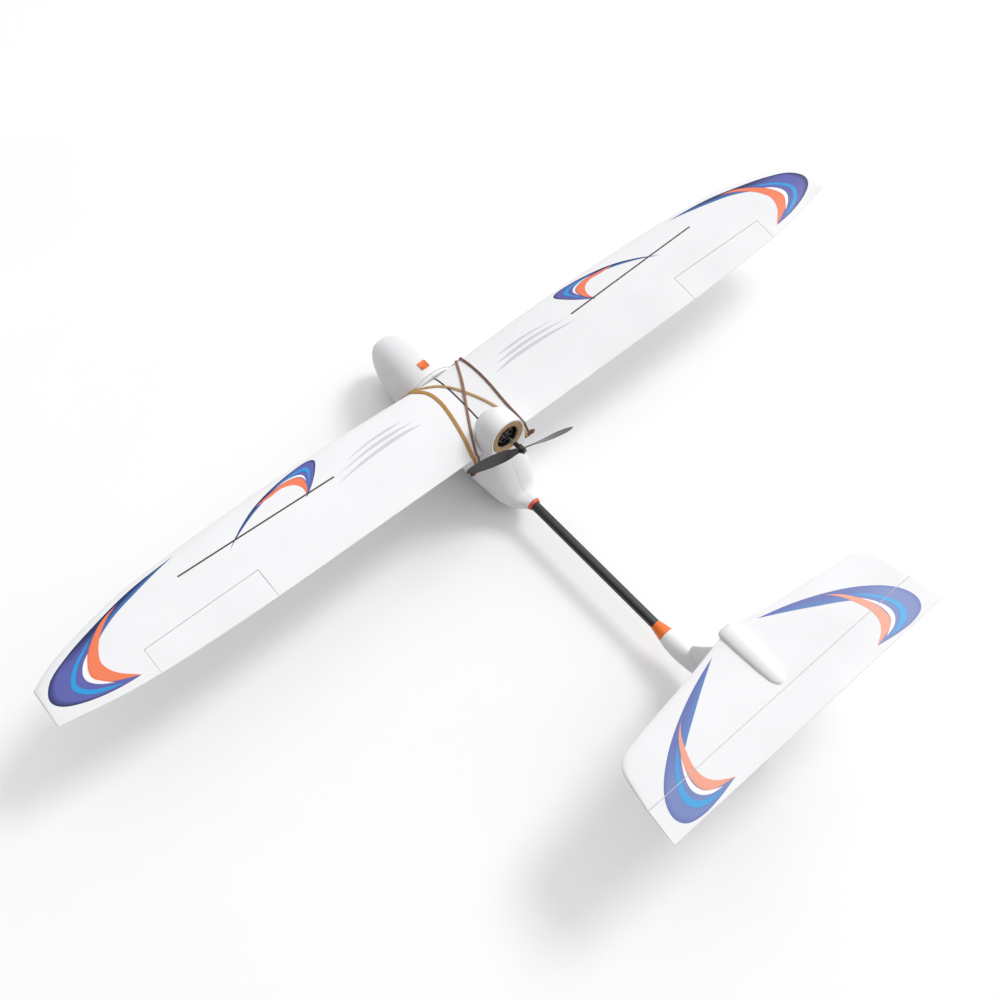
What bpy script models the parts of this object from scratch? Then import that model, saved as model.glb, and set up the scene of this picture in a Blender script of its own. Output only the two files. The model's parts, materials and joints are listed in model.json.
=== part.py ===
"""Foam RC glider: pusher motor above the pod, T-tail on a carbon boom, wing held on with rubber bands.

Metres, +Z up. The nose points towards -Y and +X is the pilot's left. The origin is under the
middle of the model, on the surface that its flat belly rests on.
"""
import math

import bmesh
import bpy
from mathutils import Matrix, Vector

# ---------------------------------------------------------------- driving dimensions
GAP = 0.0003            # clearance between touching pieces
HALF_SPAN = 0.94        # wing centreline to wing tip
SPAR_Y = -0.312         # spar line, along the model
CHORD_Z = 0.162         # wing root chord plane above the belly
DIHEDRAL = 0.066        # rise of the wing for each metre of span

# Lengthwise places below are measured from the spar line, heights from the root chord plane.
NOSE_Y = -0.275
BELLY_Z = -CHORD_Z
PARTING_Z = -0.052      # hatch meets the lower shells
HATCH_REAR_Y = -0.0840
COLLAR_REAR_Y = -0.0778
SADDLE_Z = -0.0050      # fuselage top under the wing
POD_END_Y = 0.229
FOAM_WALL = 0.006

BOOM_Z = -0.100
BOOM_RADIUS = 0.010
BOOM_FRONT_Y = 0.110
BOOM_REAR_Y = 0.660

MOTOR_RING_Y = 0.151    # rear face of the motor housing
MOTOR_RING_Z = 0.048
MOTOR_TILT = math.radians(6)
PROP_RADIUS = 0.1375    # the blade tips clear the boom by about 5 mm
PROP_ANGLE = math.radians(20)

STAB_Z = 0.102
ELEVATOR_HINGE_Y = 0.8455
STAB_TE_Y = 0.909
RUDDER_HINGE_Y = 0.800
FIN_TOP_Z = 0.0970
FIN_BOTTOM_Z = -0.148

AILERON_IN = 0.5226
AILERON_OUT = 0.7587
AILERON_HINGE_IN_Y = 0.0745
AILERON_HINGE_OUT_Y = 0.0825

FRONT_DOWEL = (-0.112, -0.062)
REAR_DOWEL = (0.136, -0.022)
DOWEL_RADIUS = 0.003
DOWEL_HALF = 0.082

HORN_DROP = 0.020       # control horn's pin below its hinge


# ---------------------------------------------------------------- places and curves
def at(x, y, z):
    """A point given from the centreline, the spar line and the root chord plane."""
    return Vector((x, y + SPAR_Y, z + CHORD_Z))


def spline(points, x):
    """Height at x of a smooth curve through a few (x, y) points."""
    last = len(points) - 1
    x = min(max(x, points[0][0]), points[last][0])
    i = 0
    while i < last - 1 and x > points[i + 1][0]:
        i += 1

    def slope(k):
        a = points[max(k - 1, 0)]
        b = points[min(k + 1, last)]
        return (b[1] - a[1]) / (b[0] - a[0])

    (x0, y0), (x1, y1) = points[i], points[i + 1]
    span = x1 - x0
    t = (x - x0) / span
    return ((2 * t ** 3 - 3 * t ** 2 + 1) * y0 + (t ** 3 - 2 * t ** 2 + t) * span * slope(i)
            + (3 * t ** 2 - 2 * t ** 3) * y1 + (t ** 3 - t ** 2) * span * slope(i + 1))


def quarter(t):
    """Quarter-ellipse rise from 0 at t = 1 to 1 at t = 0."""
    return math.sqrt(max(0.0, 1 - t * t))


def cosine_steps(count):
    return [(1 - math.cos(math.pi * i / count)) / 2 for i in range(count + 1)]


# ---------------------------------------------------------------- materials
COLOURS = {
    "foam": ((0.90, 0.90, 0.92), 0.55, 0.0),
    "carbon": ((0.03, 0.03, 0.035), 0.35, 0.0),
    "orange_plastic": ((0.95, 0.30, 0.04), 0.4, 0.0),
    "plywood": ((0.62, 0.45, 0.27), 0.7, 0.0),
    "rubber_band": ((0.55, 0.33, 0.14), 0.6, 0.0),
    "black_plastic": ((0.04, 0.04, 0.045), 0.45, 0.0),
    "horn_plastic": ((0.85, 0.85, 0.86), 0.4, 0.0),
    "battery_wrap": ((0.10, 0.13, 0.30), 0.35, 0.0),
    "strap": ((0.05, 0.05, 0.05), 0.9, 0.0),
    "servo_case": ((0.06, 0.12, 0.35), 0.3, 0.0),
    "steel": ((0.6, 0.6, 0.62), 0.3, 1.0),
    "motor_metal": ((0.10, 0.10, 0.11), 0.35, 1.0),
    "copper": ((0.55, 0.20, 0.10), 0.35, 1.0),
}


def material(name):
    mat = bpy.data.materials.get(name)
    if mat is None:
        colour, roughness, metallic = COLOURS[name]
        mat = bpy.data.materials.new(name)
        mat.use_nodes = True
        shader = mat.node_tree.nodes["Principled BSDF"]
        shader.inputs["Base Color"].default_value = (*colour, 1)
        shader.inputs["Roughness"].default_value = roughness
        shader.inputs["Metallic"].default_value = metallic
    return mat


# ---------------------------------------------------------------- mesh helpers
def add_mesh(name, verts, faces, mat, parent=None, smooth=35):
    """A closed object from world points, with its faces turned outwards."""
    mesh = bpy.data.meshes.new(name)
    inverse = parent.matrix_world.inverted() if parent else Matrix()
    mesh.from_pydata([inverse @ Vector(v) for v in verts], [], faces)
    bm = bmesh.new()
    bm.from_mesh(mesh)
    bmesh.ops.recalc_face_normals(bm, faces=bm.faces)
    if bm.calc_volume(signed=True) < 0:
        bmesh.ops.reverse_faces(bm, faces=bm.faces)
    bm.to_mesh(mesh)
    bm.free()
    mesh.shade_smooth()
    mesh.set_sharp_from_angle(angle=math.radians(smooth))
    obj = bpy.data.objects.new(name, mesh)
    bpy.context.scene.collection.objects.link(obj)
    if mat:
        mesh.materials.append(material(mat))
    obj.parent = parent
    return obj


def loft(name, rings, mat, parent=None, smooth=35):
    """A closed solid through rings of points, with flat ends."""
    count = len(rings[0])
    verts = [p for ring in rings for p in ring]
    faces = []
    for r in range(len(rings) - 1):
        for i in range(count):
            j = (i + 1) % count
            faces.append((r * count + i, r * count + j, (r + 1) * count + j, (r + 1) * count + i))
    faces.append(tuple(range(count)))
    faces.append(tuple((len(rings) - 1) * count + i for i in range(count)))
    return add_mesh(name, verts, faces, mat, parent, smooth)


def prism(name, outline, direction, mat, parent=None):
    """A flat outline of points pushed along a direction."""
    return loft(name, [outline, [p + direction for p in outline]], mat, parent)


def box(name, low, high, mat, parent=None, bevel=0.0):
    """A block between two corners given as (x, y, z) in the model's own places."""
    (x0, y0, z0), (x1, y1, z1) = low, high
    outline = [at(x0, y0, z0), at(x1, y0, z0), at(x1, y1, z0), at(x0, y1, z0)]
    obj = prism(name, outline, Vector((0, 0, z1 - z0)), mat, parent)
    if bevel:
        soften(obj, bevel)
    return obj


def soften(obj, width, segments=1):
    mod = obj.modifiers.new("edges", "BEVEL")
    mod.width = width
    mod.segments = segments
    mod.limit_method = "ANGLE"


def turned(name, profile, centre, axis, sides, mat, parent=None, smooth=35):
    """A solid turned about an axis. The profile is (radius, along) points; a profile that never
    reaches the axis is closed into a ring."""
    turn = Vector((0, 0, 1)).rotation_difference(axis.normalized()).to_matrix()
    verts, rows = [], []
    for radius, along in profile:
        steps = 1 if radius == 0 else sides
        rows.append(list(range(len(verts), len(verts) + steps)))
        for i in range(steps):
            a = 2 * math.pi * i / sides
            verts.append(centre + turn @ Vector((radius * math.cos(a), radius * math.sin(a), along)))
    closed = profile[0][0] > 0
    pairs = list(zip(rows, rows[1:] + rows[:1])) if closed else list(zip(rows, rows[1:]))
    faces = []
    for low, high in pairs:
        for i in range(sides):
            j = (i + 1) % sides
            if len(low) == 1:
                faces.append((low[0], high[i], high[j]))
            elif len(high) == 1:
                faces.append((low[i], low[j], high[0]))
            else:
                faces.append((low[i], low[j], high[j], high[i]))
    return add_mesh(name, verts, faces, mat, parent, smooth)


def rod(name, start, end, radius, sides, mat, parent=None):
    along = end - start
    profile = [(0, 0), (radius, 0), (radius, along.length), (0, along.length)]
    return turned(name, profile, start, along, sides, mat, parent)


def sweep(name, path, across, half_width, half_thick, mat, parent=None, sides=8):
    """A strap or wire along a path: an elliptic section whose wide side lies along `across`."""
    rings = []
    for i, p in enumerate(path):
        ahead = (path[min(i + 1, len(path) - 1)] - path[max(i - 1, 0)]).normalized()
        wide = (across - ahead * across.dot(ahead)).normalized()
        thick = ahead.cross(wide)
        rings.append([p + wide * half_width * math.cos(2 * math.pi * k / sides)
                      + thick * half_thick * math.sin(2 * math.pi * k / sides) for k in range(sides)])
    return loft(name, rings, mat, parent, smooth=80)


def combine(target, tool, operation="DIFFERENCE"):
    """Cut a tool out of a target, or join it on; the tool is kept as a hidden guide."""
    mod = target.modifiers.new(tool.name, "BOOLEAN")
    mod.operation = operation
    mod.solver = "EXACT"
    mod.object = tool
    tool.hide_render = True
    tool.display_type = "WIRE"


def pivot(name, place, axis=None):
    """An empty on a joint's axis, its local X along the axis if one is given."""
    empty = bpy.data.objects.new(name, None)
    empty.empty_display_size = 0.02
    bpy.context.scene.collection.objects.link(empty)
    turn = Vector((1, 0, 0)).rotation_difference(axis.normalized()).to_matrix().to_4x4() if axis else Matrix()
    empty.matrix_world = Matrix.Translation(place) @ turn
    bpy.context.view_layer.update()
    return empty


# ---------------------------------------------------------------- wing shape
LEADING_EDGE = [(0, -0.076), (0.30, -0.076), (0.56, -0.0625), (0.74, -0.0435), (0.834, -0.0185),
                (0.893, 0.002), (0.94, 0.028)]
TRAILING_EDGE = [(0, 0.123), (0.30, 0.131), (0.58, 0.1365), (0.80, 0.131), (0.94, 0.110)]
WING_STATIONS = [0, 0.15, 0.30, 0.43, 0.52, 0.60, 0.68, 0.76, 0.815, 0.86, 0.895, 0.92, 0.94]
SECTION_STEPS = 11


def airfoil(s):
    """(upper, lower) heights of the section as parts of the chord, at s from 0 to 1."""
    half = 5 * 0.092 * (0.2969 * math.sqrt(s) - 0.1260 * s - 0.3516 * s ** 2
                        + 0.2843 * s ** 3 - 0.1015 * s ** 4) + 0.0035 * s
    rise = 0.034
    camber = rise / 0.16 * (0.8 * s - s * s) if s < 0.4 else rise / 0.36 * (0.2 + 0.8 * s - s * s)
    return camber + half, camber - half


def wing_z(x, y, upper=True):
    """Height of the wing's skin, from the root chord plane."""
    le, te = spline(LEADING_EDGE, abs(x)), spline(TRAILING_EDGE, abs(x))
    s = min(max((y - le) / (te - le), 0), 1)
    return airfoil(s)[0 if upper else 1] * (te - le) + DIHEDRAL * abs(x)


def wing_ring(x, side):
    le, te = spline(LEADING_EDGE, x), spline(TRAILING_EDGE, x)
    chord = te - le
    steps = cosine_steps(SECTION_STEPS)
    lift = DIHEDRAL * x
    upper = [at(side * x, le + chord * s, chord * airfoil(s)[0] + lift) for s in reversed(steps)]
    lower = [at(side * x, le + chord * s, chord * airfoil(s)[1] + lift) for s in steps[1:]]
    return upper + lower


def hinge_y(x):
    t = (x - AILERON_IN) / (AILERON_OUT - AILERON_IN)
    return AILERON_HINGE_IN_Y + t * (AILERON_HINGE_OUT_Y - AILERON_HINGE_IN_Y)


def hinge_point(x, side):
    """A point on the aileron's hinge line, just under the wing's top skin."""
    y = hinge_y(x)
    t = (x - AILERON_IN) / (AILERON_OUT - AILERON_IN)
    z_in = wing_z(AILERON_IN, hinge_y(AILERON_IN))
    z_out = wing_z(AILERON_OUT, hinge_y(AILERON_OUT))
    return at(side * x, y, z_in + t * (z_out - z_in) - 0.0004)


# ---------------------------------------------------------------- body shape
def body_half_width(y):
    if y < -0.10:
        return 0.062 * quarter((-0.10 - y) / (-0.10 - NOSE_Y))
    return spline([(-0.10, 0.062), (0.0, 0.062), (0.09, 0.0575), (0.13, 0.0535), (0.17, 0.045),
                   (0.205, 0.030), (POD_END_Y, 0.0150)], y)


def body_top(y):
    if y < -0.12:
        return -0.095 + 0.107 * quarter((-0.12 - y) / (-0.12 - NOSE_Y))
    return spline([(-0.12, 0.012), (-0.10, 0.0112), (-0.08, 0.009), (-0.04, 0.010), (0.10, 0.018), (0.135, 0.010),
                   (0.151, -0.003), (0.165, -0.023), (0.18, -0.051), (0.195, -0.079), (0.206, -0.0868),
                   (POD_END_Y, BOOM_Z + 0.0150)], y)


def body_bottom(y):
    if y < -0.19:
        return -0.095 - 0.073 * quarter((-0.19 - y) / (-0.19 - NOSE_Y))
    return spline([(-0.19, -0.168), (0.0, -0.168), (0.135, -0.168), (0.170, -0.158), (0.205, -0.133),
                   (POD_END_Y, BOOM_Z - 0.0150)], y)


def widest_height(y, top, bottom):
    """The body is widest above its middle, so that its sides draw in towards the belly."""
    share = spline([(0.08, 0.61), (0.15, 0.57), (POD_END_Y, 0.5)], y)
    return bottom + (top - bottom) * share


def body_half_ring(y, side, inset, roof, floor, centre, steps=16):
    """One side of the body's section: from the top centre round to the floor or belly, then in."""
    top, bottom = body_top(y) - inset, body_bottom(y) + inset
    middle = widest_height(y, top, bottom)
    width = max(body_half_width(y) - inset, 0.001)
    shoulder = 2 / 2.35
    if floor >= middle:
        last = math.asin(min((floor - middle) / (top - middle), 1) ** (1 / shoulder))
    else:
        last = max(math.asin(max((floor - middle) / (middle - bottom), -1)), -math.pi / 2 + 0.12)
    ring = []
    for i in range(steps + 1):
        a = math.pi / 2 + (last - math.pi / 2) * i / steps
        if a > 0:
            x = width * math.cos(a) ** shoulder if i else 0
            z = middle + (top - middle) * math.sin(a) ** shoulder
        else:
            x = width * math.cos(a) * (1 - 0.12 * math.sin(a) ** 2)
            z = middle + (middle - bottom) * math.sin(a)
        z = min(z, roof(x))
        ring.append(at(side * (centre + x * (width - centre) / width), y, z))
    ring.append(at(side * centre, y, min(max(bottom, floor), roof(0))))
    return ring


def flat_roof(z):
    return lambda x: z


def wing_seat(x):
    return SADDLE_Z + DIHEDRAL * x


def no_roof(x):
    return 1.0


NOSE_STEPS = [NOSE_Y + (HATCH_REAR_Y - 0.0005 - NOSE_Y) * (1 - math.cos(math.pi / 2 * i / 11))
              for i in range(12)]


def make_shell(name, side):
    """One moulded half of the fuselage: solid pod behind, hollow equipment bay in front."""
    rings = []
    for i, y in enumerate(NOSE_STEPS):
        y = y + (0.0003 if i == 0 else 0)
        rings.append(body_half_ring(y, side, 0, flat_roof(PARTING_Z), BELLY_Z, GAP / 2))
    for y in (HATCH_REAR_Y, COLLAR_REAR_Y):
        rings.append(body_half_ring(y, side, 0, no_roof, BELLY_Z, GAP / 2))
    for y in (COLLAR_REAR_Y + 0.0005, -0.04, 0.0, 0.04, 0.08, 0.1245):
        rings.append(body_half_ring(y, side, 0, wing_seat, BELLY_Z, GAP / 2))
    for y in (0.126, 0.14, 0.151, 0.165, 0.18, 0.19, 0.20, 0.207, 0.217, POD_END_Y):
        rings.append(body_half_ring(y, side, 0, flat_roof(-0.0015), BELLY_Z, GAP / 2))
    shell = loft(name, rings, "foam")
    bay = []
    for y in (-0.258, -0.24, -0.21, -0.17, -0.13, -0.10, -0.0905):
        bay.append(body_half_ring(y, side, FOAM_WALL, flat_roof(0.03), BELLY_Z + 0.006, -0.01))
    for y in (-0.0895, -0.04, 0.0, 0.045):
        bay.append(body_half_ring(y, side, FOAM_WALL, flat_roof(-0.014), BELLY_Z + 0.006, -0.01))
    combine(shell, loft(name + "_bay", bay, None))
    return shell


def make_fuselage():
    shells = [make_shell("fuselage_left_shell", 1), make_shell("fuselage_right_shell", -1)]
    boom_socket = rod("boom_socket", at(0, BOOM_FRONT_Y - 0.001, BOOM_Z), at(0, POD_END_Y + 0.02, BOOM_Z),
                      BOOM_RADIUS + GAP, 20, None)
    cuts = [boom_socket]
    for name, (y, z) in (("front_dowel_hole", FRONT_DOWEL), ("rear_dowel_hole", REAR_DOWEL)):
        cuts.append(rod(name, at(-0.1, y, z), at(0.1, y, z), DOWEL_RADIUS + GAP, 12, None))
    for shell in shells:
        for tool in cuts:
            combine(shell, tool)


def make_hatch():
    """The lift-off nose hatch: the upper nose as a foam shell, a hair wider than the body."""
    rings = []
    lip = 0.0012
    for y in NOSE_STEPS:
        left = body_half_ring(y, 1, -lip, no_roof, PARTING_Z + 0.0005, 0)
        right = body_half_ring(y, -1, -lip, no_roof, PARTING_Z + 0.0005, 0)
        rings.append(left + right[-2:0:-1])
    nose = [ring for ring in rings if max(p.z for p in ring) > PARTING_Z + CHORD_Z + 0.004]
    hinge = pivot("hatch_hinge", at(0, nose[0][0].y - SPAR_Y, PARTING_Z + 0.0005))
    hatch = loft("canopy_hatch", nose, "foam", hinge)
    hollow = []
    for y in (-0.230, -0.215, -0.18, -0.145, -0.115, -0.0905):
        left = body_half_ring(y, 1, FOAM_WALL, no_roof, PARTING_Z - 0.01, 0)
        right = body_half_ring(y, -1, FOAM_WALL, no_roof, PARTING_Z - 0.01, 0)
        hollow.append(left + right[-2:0:-1])
    combine(hatch, loft("hatch_hollow", hollow, None))
    make_hatch_tab(hinge)


def make_hatch_tab(parent):
    """Square orange tab let into the top of the hatch, with its small knob."""
    y, half = -0.110, 0.0095
    top = body_top(y) + 0.0012
    slope = (body_top(y + half) - body_top(y - half)) / (2 * half)
    centre = at(0, y, top + 0.0006)
    along = Vector((0, 1, slope)).normalized()
    across = Vector((1, 0, 0))
    outline = [centre + across * half * i + along * half * j for i, j in ((-1, -1), (1, -1), (1, 1), (-1, 1))]
    tab = prism("hatch_tab", outline, across.cross(along) * 0.0016, "orange_plastic", parent)
    knob_place = centre + across * 0.0035 + along * 0.0045
    knob = rod("hatch_tab_knob", knob_place, knob_place + across.cross(along) * 0.0030, 0.0025, 12,
               "orange_plastic", parent)
    combine(tab, knob, "UNION")


# ---------------------------------------------------------------- equipment bay
def make_equipment():
    tray_z = BELLY_Z + 0.018
    tray = prism("equipment_tray",
                 [at(x, y, tray_z) for x, y in ((-0.010, -0.213), (0.010, -0.213), (0.0222, -0.145),
                                                (0.0222, 0.035), (-0.0222, 0.035), (-0.0222, -0.145))],
                 Vector((0, 0, 0.002)), "plywood")
    for y in (-0.155, -0.095):
        for x in (-0.0195, 0.0195):
            combine(tray, box("tray_slot", (x - 0.0015, y, tray_z - 0.01), (x + 0.0015, y + 0.02, tray_z + 0.01),
                              None))
    base = tray_z + 0.002 + GAP
    box("battery", (-0.021, -0.212, base), (0.021, -0.084, base + 0.030), "battery_wrap", bevel=0.004)
    strap_path = [(-0.0228, base), (-0.0228, base + 0.0295), (-0.0215, base + 0.0313),
                  (0.0215, base + 0.0313), (0.0228, base + 0.0295), (0.0228, base)]
    path = [at(x, -0.165, z) for x, z in strap_path]
    sweep("battery_strap", path, Vector((0, 1, 0)), 0.010, 0.0007, "strap")
    box("speed_controller", (-0.013, -0.075, base), (0.013, -0.020, base + 0.012), "black_plastic", bevel=0.001)
    box("receiver", (-0.011, -0.010, base), (0.011, 0.030, base + 0.015), "black_plastic", bevel=0.001)
    for name, (y, z) in (("front_dowel", FRONT_DOWEL), ("rear_dowel", REAR_DOWEL)):
        rod(name, at(-DOWEL_HALF, y, z), at(DOWEL_HALF, y, z), DOWEL_RADIUS, 12, "carbon")


# ---------------------------------------------------------------- boom and tail
def make_boom():
    centre = at(0, 0, BOOM_Z)
    back = Vector((0, 1, 0))
    inner = BOOM_RADIUS - 0.0012
    turned("tail_boom", [(BOOM_RADIUS, BOOM_FRONT_Y), (BOOM_RADIUS, BOOM_REAR_Y), (inner, BOOM_REAR_Y),
                         (inner, BOOM_FRONT_Y)], centre, back, 20, "carbon")
    sleeve = BOOM_RADIUS + GAP
    start = POD_END_Y + GAP
    turned("boom_front_ring", [(0.0140, start), (0.0132, start + 0.0055), (sleeve, start + 0.0065),
                               (sleeve, start)], centre, back, 24, "orange_plastic")
    turned("boom_rear_sleeve", [(0.0108, 0.575), (0.0165, 0.6035), (sleeve, 0.6035), (sleeve, 0.575)],
           centre, back, 24, "orange_plastic")


FIN_LE = [(FIN_BOTTOM_Z, 0.735), (-0.128, 0.690), (-0.105, 0.665), (-0.055, 0.660), (-0.02, 0.680),
          (FIN_TOP_Z, 0.746)]
FIN_HALF_THICK = [(FIN_BOTTOM_Z, 0.0042), (-0.10, 0.0075), (0.0, 0.0068), (FIN_TOP_Z, 0.0060)]
RUDDER_SHAFT = at(-0.0072, 0.757, -0.0350)


def fin_ring(z):
    """Fin section at a height: round nose, widest a third back, flat rear face at the hinge."""
    le, half = spline(FIN_LE, z), spline(FIN_HALF_THICK, z)
    rear = RUDDER_HINGE_Y - 0.0045
    ring = []
    for s in (0, 0.04, 0.12, 0.28, 0.5, 0.75, 1):
        bulge = quarter(1 - s / 0.28) if s < 0.28 else 1 - 0.30 * ((s - 0.28) / 0.72) ** 1.5
        ring.append((le + s * (rear - le), half * bulge))
    return [at(x, y, z) for y, x in ring] + [at(-x, y, z) for y, x in reversed(ring[1:])]


def make_fin():
    heights = [FIN_BOTTOM_Z, -0.140, -0.128, -0.115, -0.10, -0.08, -0.055, -0.035, -0.015, 0.02, 0.06, FIN_TOP_Z]
    fin = loft("fin", [fin_ring(z) for z in heights], "foam")
    root = []
    for y, wide, deep in ((0.6038, 0.0168, 0.0168), (0.620, 0.0195, 0.0205), (0.640, 0.0205, 0.0235),
                          (0.665, 0.0185, 0.0245), (0.695, 0.0140, 0.0225), (0.725, 0.0095, 0.019),
                          (0.750, 0.0065, 0.015)):
        root.append([at(wide * math.cos(a), y, BOOM_Z + deep * math.sin(a))
                     for a in (2 * math.pi * i / 20 for i in range(20))])
    combine(fin, loft("fin_root", root, None), "UNION")
    combine(fin, rod("fin_boom_socket", at(0, 0.59, BOOM_Z), at(0, BOOM_REAR_Y + 0.001, BOOM_Z),
                     BOOM_RADIUS + GAP, 20, None))
    combine(fin, servo_pocket("rudder_servo_pocket", RUDDER_SHAFT, Vector((0, 0, 1)), Vector((0, -1, 0)),
                              Vector((-1, 0, 0)), 0.03))


RUDDER_TE = [(FIN_BOTTOM_Z, 0.850), (-0.128, 0.862), (-0.10, 0.868), (0.0, 0.868), (0.060, 0.866),
             (0.0865, 0.862)]


def make_rudder():
    """The rudder turns about a line inside its round nose."""
    hinge = pivot("rudder_hinge", at(0, RUDDER_HINGE_Y, 0))
    rings = []
    for z, te in RUDDER_TE:
        radius = min(spline(FIN_HALF_THICK, z) * 0.70, 0.0040)
        arc = [math.pi * (0.5 - k / 6) for k in range(7)]
        nose = [at(radius * math.sin(a), RUDDER_HINGE_Y - radius * math.cos(a), z) for a in arc]
        rings.append(nose + [at(-0.0008, te, z), at(0.0008, te, z)])
    loft("rudder", rings, "foam", hinge)
    drop = Vector((-0.018, 0.003, 0))
    level = RUDDER_SHAFT.z - CHORD_Z
    cheek = [at(-0.0046, RUDDER_HINGE_Y + dy, level) for dy in (0.006, 0.020)]
    make_linkage("rudder", at(0, RUDDER_HINGE_Y, level), RUDDER_SHAFT, drop, Vector((0, 0, 1)),
                 Vector((0, -1, 0)), cheek, hinge)


# ---------------------------------------------------------------- stabilizer and elevator
STAB_LE = [(0, 0.7105), (0.10, 0.7285), (0.20, 0.7420), (0.25, 0.7495), (0.285, 0.7585), (0.301, 0.776),
           (0.3085, 0.808), (0.3135, 0.8405)]
STAB_STATIONS = [0, 0.05, 0.10, 0.15, 0.20, 0.25, 0.285, 0.301, 0.3085, 0.3135]
HINGE_HALF_THICK = 0.0034
STAB_CROWN = 0.0011


def stab_ring(x):
    le = spline(STAB_LE, abs(x))
    rear = ELEVATOR_HINGE_Y - 0.0004
    edge = 0.45 + 0.55 * quarter(max(0, abs(x) - 0.295) / 0.0186)
    half = []
    for s in (0, 0.03, 0.09, 0.2, 0.45, 0.75, 1):
        nose = quarter(1 - s / 0.2) if s < 0.2 else 1
        half.append((le + s * (rear - le), (HINGE_HALF_THICK * nose + STAB_CROWN * math.sin(math.pi * s)) * edge))
    upper = [at(x, y, STAB_Z + h) for y, h in reversed(half)]
    return upper + [at(x, y, STAB_Z - h) for y, h in half[1:]]


def make_stabilizer():
    stations = [-x for x in reversed(STAB_STATIONS[1:])] + STAB_STATIONS
    stab = loft("stabilizer", [stab_ring(x) for x in stations], "foam")
    fairing = []
    for y, wide, high in ((0.7052, 0.0125, 0.0060), (0.708, 0.0165, 0.0105), (0.716, 0.0185, 0.0130),
                          (0.745, 0.0192, 0.0145), (0.785, 0.0178, 0.0140), (0.815, 0.0150, 0.0118),
                          (0.829, 0.0115, 0.0090), (0.836, 0.0060, 0.0060)):
        top = [at(wide * math.cos(a) * (1 + 0.06 * math.sin(2 * a) ** 2), y, STAB_Z + high * math.sin(a) ** 0.8)
               for a in (math.pi * i / 12 for i in range(13))]
        fairing.append(top + [at(-wide * 0.8, y, STAB_Z - 0.002), at(wide * 0.8, y, STAB_Z - 0.002)])
    combine(stab, loft("stabilizer_fairing", fairing, None), "UNION")
    hinge_z = STAB_Z + HINGE_HALF_THICK - 0.0004
    hinge = pivot("elevator_hinge", at(0, ELEVATOR_HINGE_Y, hinge_z))
    make_elevator(hinge)
    horn_x = 0.050
    drop = Vector((0, 0.004, -HORN_DROP))
    skin = [at(horn_x, ELEVATOR_HINGE_Y + dy, STAB_Z - elevator_half(dy) - GAP) for dy in (0.007, 0.022)]
    shaft = at(horn_x, 0.782, STAB_Z - 0.0085)
    make_linkage("elevator", at(horn_x, ELEVATOR_HINGE_Y, hinge_z), shaft, drop, Vector((1, 0, 0)),
                 Vector((0, -1, 0)), skin, hinge)
    return stab


def elevator_half(behind):
    """Half thickness of the elevator at a distance behind its hinge."""
    return HINGE_HALF_THICK + (0.0008 - HINGE_HALF_THICK) * behind / (STAB_TE_Y - ELEVATOR_HINGE_Y)


def make_elevator(hinge):
    chord = STAB_TE_Y - ELEVATOR_HINGE_Y
    bevel = 0.0046
    section = [(0.0004, HINGE_HALF_THICK), (0.03, elevator_half(0.03)), (chord, 0.0008), (chord, -0.0008),
               (0.03, -elevator_half(0.03)), (bevel, -elevator_half(bevel))]
    rings = []
    for part in (-1, -0.75, -0.5, -0.25, 0, 0.25, 0.5, 0.75, 1):
        rings.append([at(part * (0.3135 + 0.0055 * back / chord), ELEVATOR_HINGE_Y + back, STAB_Z + up)
                      for back, up in section])
    loft("elevator", rings, "foam", hinge)


# ---------------------------------------------------------------- servos and push rods
SERVO = {"long": 0.0225, "thick": 0.0118, "high": 0.0220, "shaft_in": 0.0060, "ear": 0.0042}
ROD_OFFSET = 0.0024     # push rod beside the arm and horn plates
PLATE = 0.0016


def plate_outline(root, root_radius, tip, tip_radius, axis):
    """Two round ends joined by straight sides, in the plane square to the axis."""
    along = (tip - root).normalized()
    side = axis.cross(along)
    outline = []
    for centre, radius, start in ((root, root_radius, math.pi / 2), (tip, tip_radius, -math.pi / 2)):
        for k in range(7):
            a = start + math.pi * k / 6
            outline.append(centre + along * radius * math.cos(a) + side * radius * math.sin(a))
    return outline


def make_servo(name, shaft, axis, long_way):
    """A small servo below its output shaft: case, ears and shaft stub in one profile."""
    thick_way = axis.cross(long_way).normalized()
    top = shaft - axis * (PLATE / 2 + 0.0016)
    front, back = -SERVO["shaft_in"], SERVO["long"] - SERVO["shaft_in"]
    ear_top, ear_low = -0.0060, -0.0080
    profile = [(front, 0), (back, 0), (back, ear_top), (back + SERVO["ear"], ear_top),
               (back + SERVO["ear"], ear_low), (back, ear_low), (back, -SERVO["high"]),
               (front, -SERVO["high"]), (front, ear_low), (front - SERVO["ear"], ear_low),
               (front - SERVO["ear"], ear_top), (front, ear_top)]
    start = -SERVO["thick"] / 2
    outline = [top + long_way * u + axis * v + thick_way * start for u, v in profile]
    servo = prism(name, outline, thick_way * SERVO["thick"], "servo_case")
    stub = rod(name + "_stub", top - axis * 0.002, shaft - axis * (PLATE / 2 + GAP), 0.0027, 12, None)
    combine(servo, stub, "UNION")


def servo_pocket(name, shaft, axis, long_way, open_way, reach):
    """Room for a servo and its arm, open towards `open_way` by `reach`."""
    thick_way = axis.cross(long_way).normalized()
    if thick_way.dot(open_way) < 0:
        thick_way = -thick_way
    low = -(SERVO["high"] + PLATE / 2 + 0.0016 + 0.0005)
    front = -(SERVO["shaft_in"] + SERVO["ear"] + 0.0005)
    back = SERVO["long"] - SERVO["shaft_in"] + SERVO["ear"] + 0.0005
    deep = -(SERVO["thick"] / 2 + 0.0005)
    high = ROD_OFFSET + 0.0035
    corners = [shaft + long_way * u + axis * v + thick_way * deep
               for u, v in ((front, low), (back, low), (back, high), (front, high))]
    return prism(name, corners, thick_way * (reach - deep), None)


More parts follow.
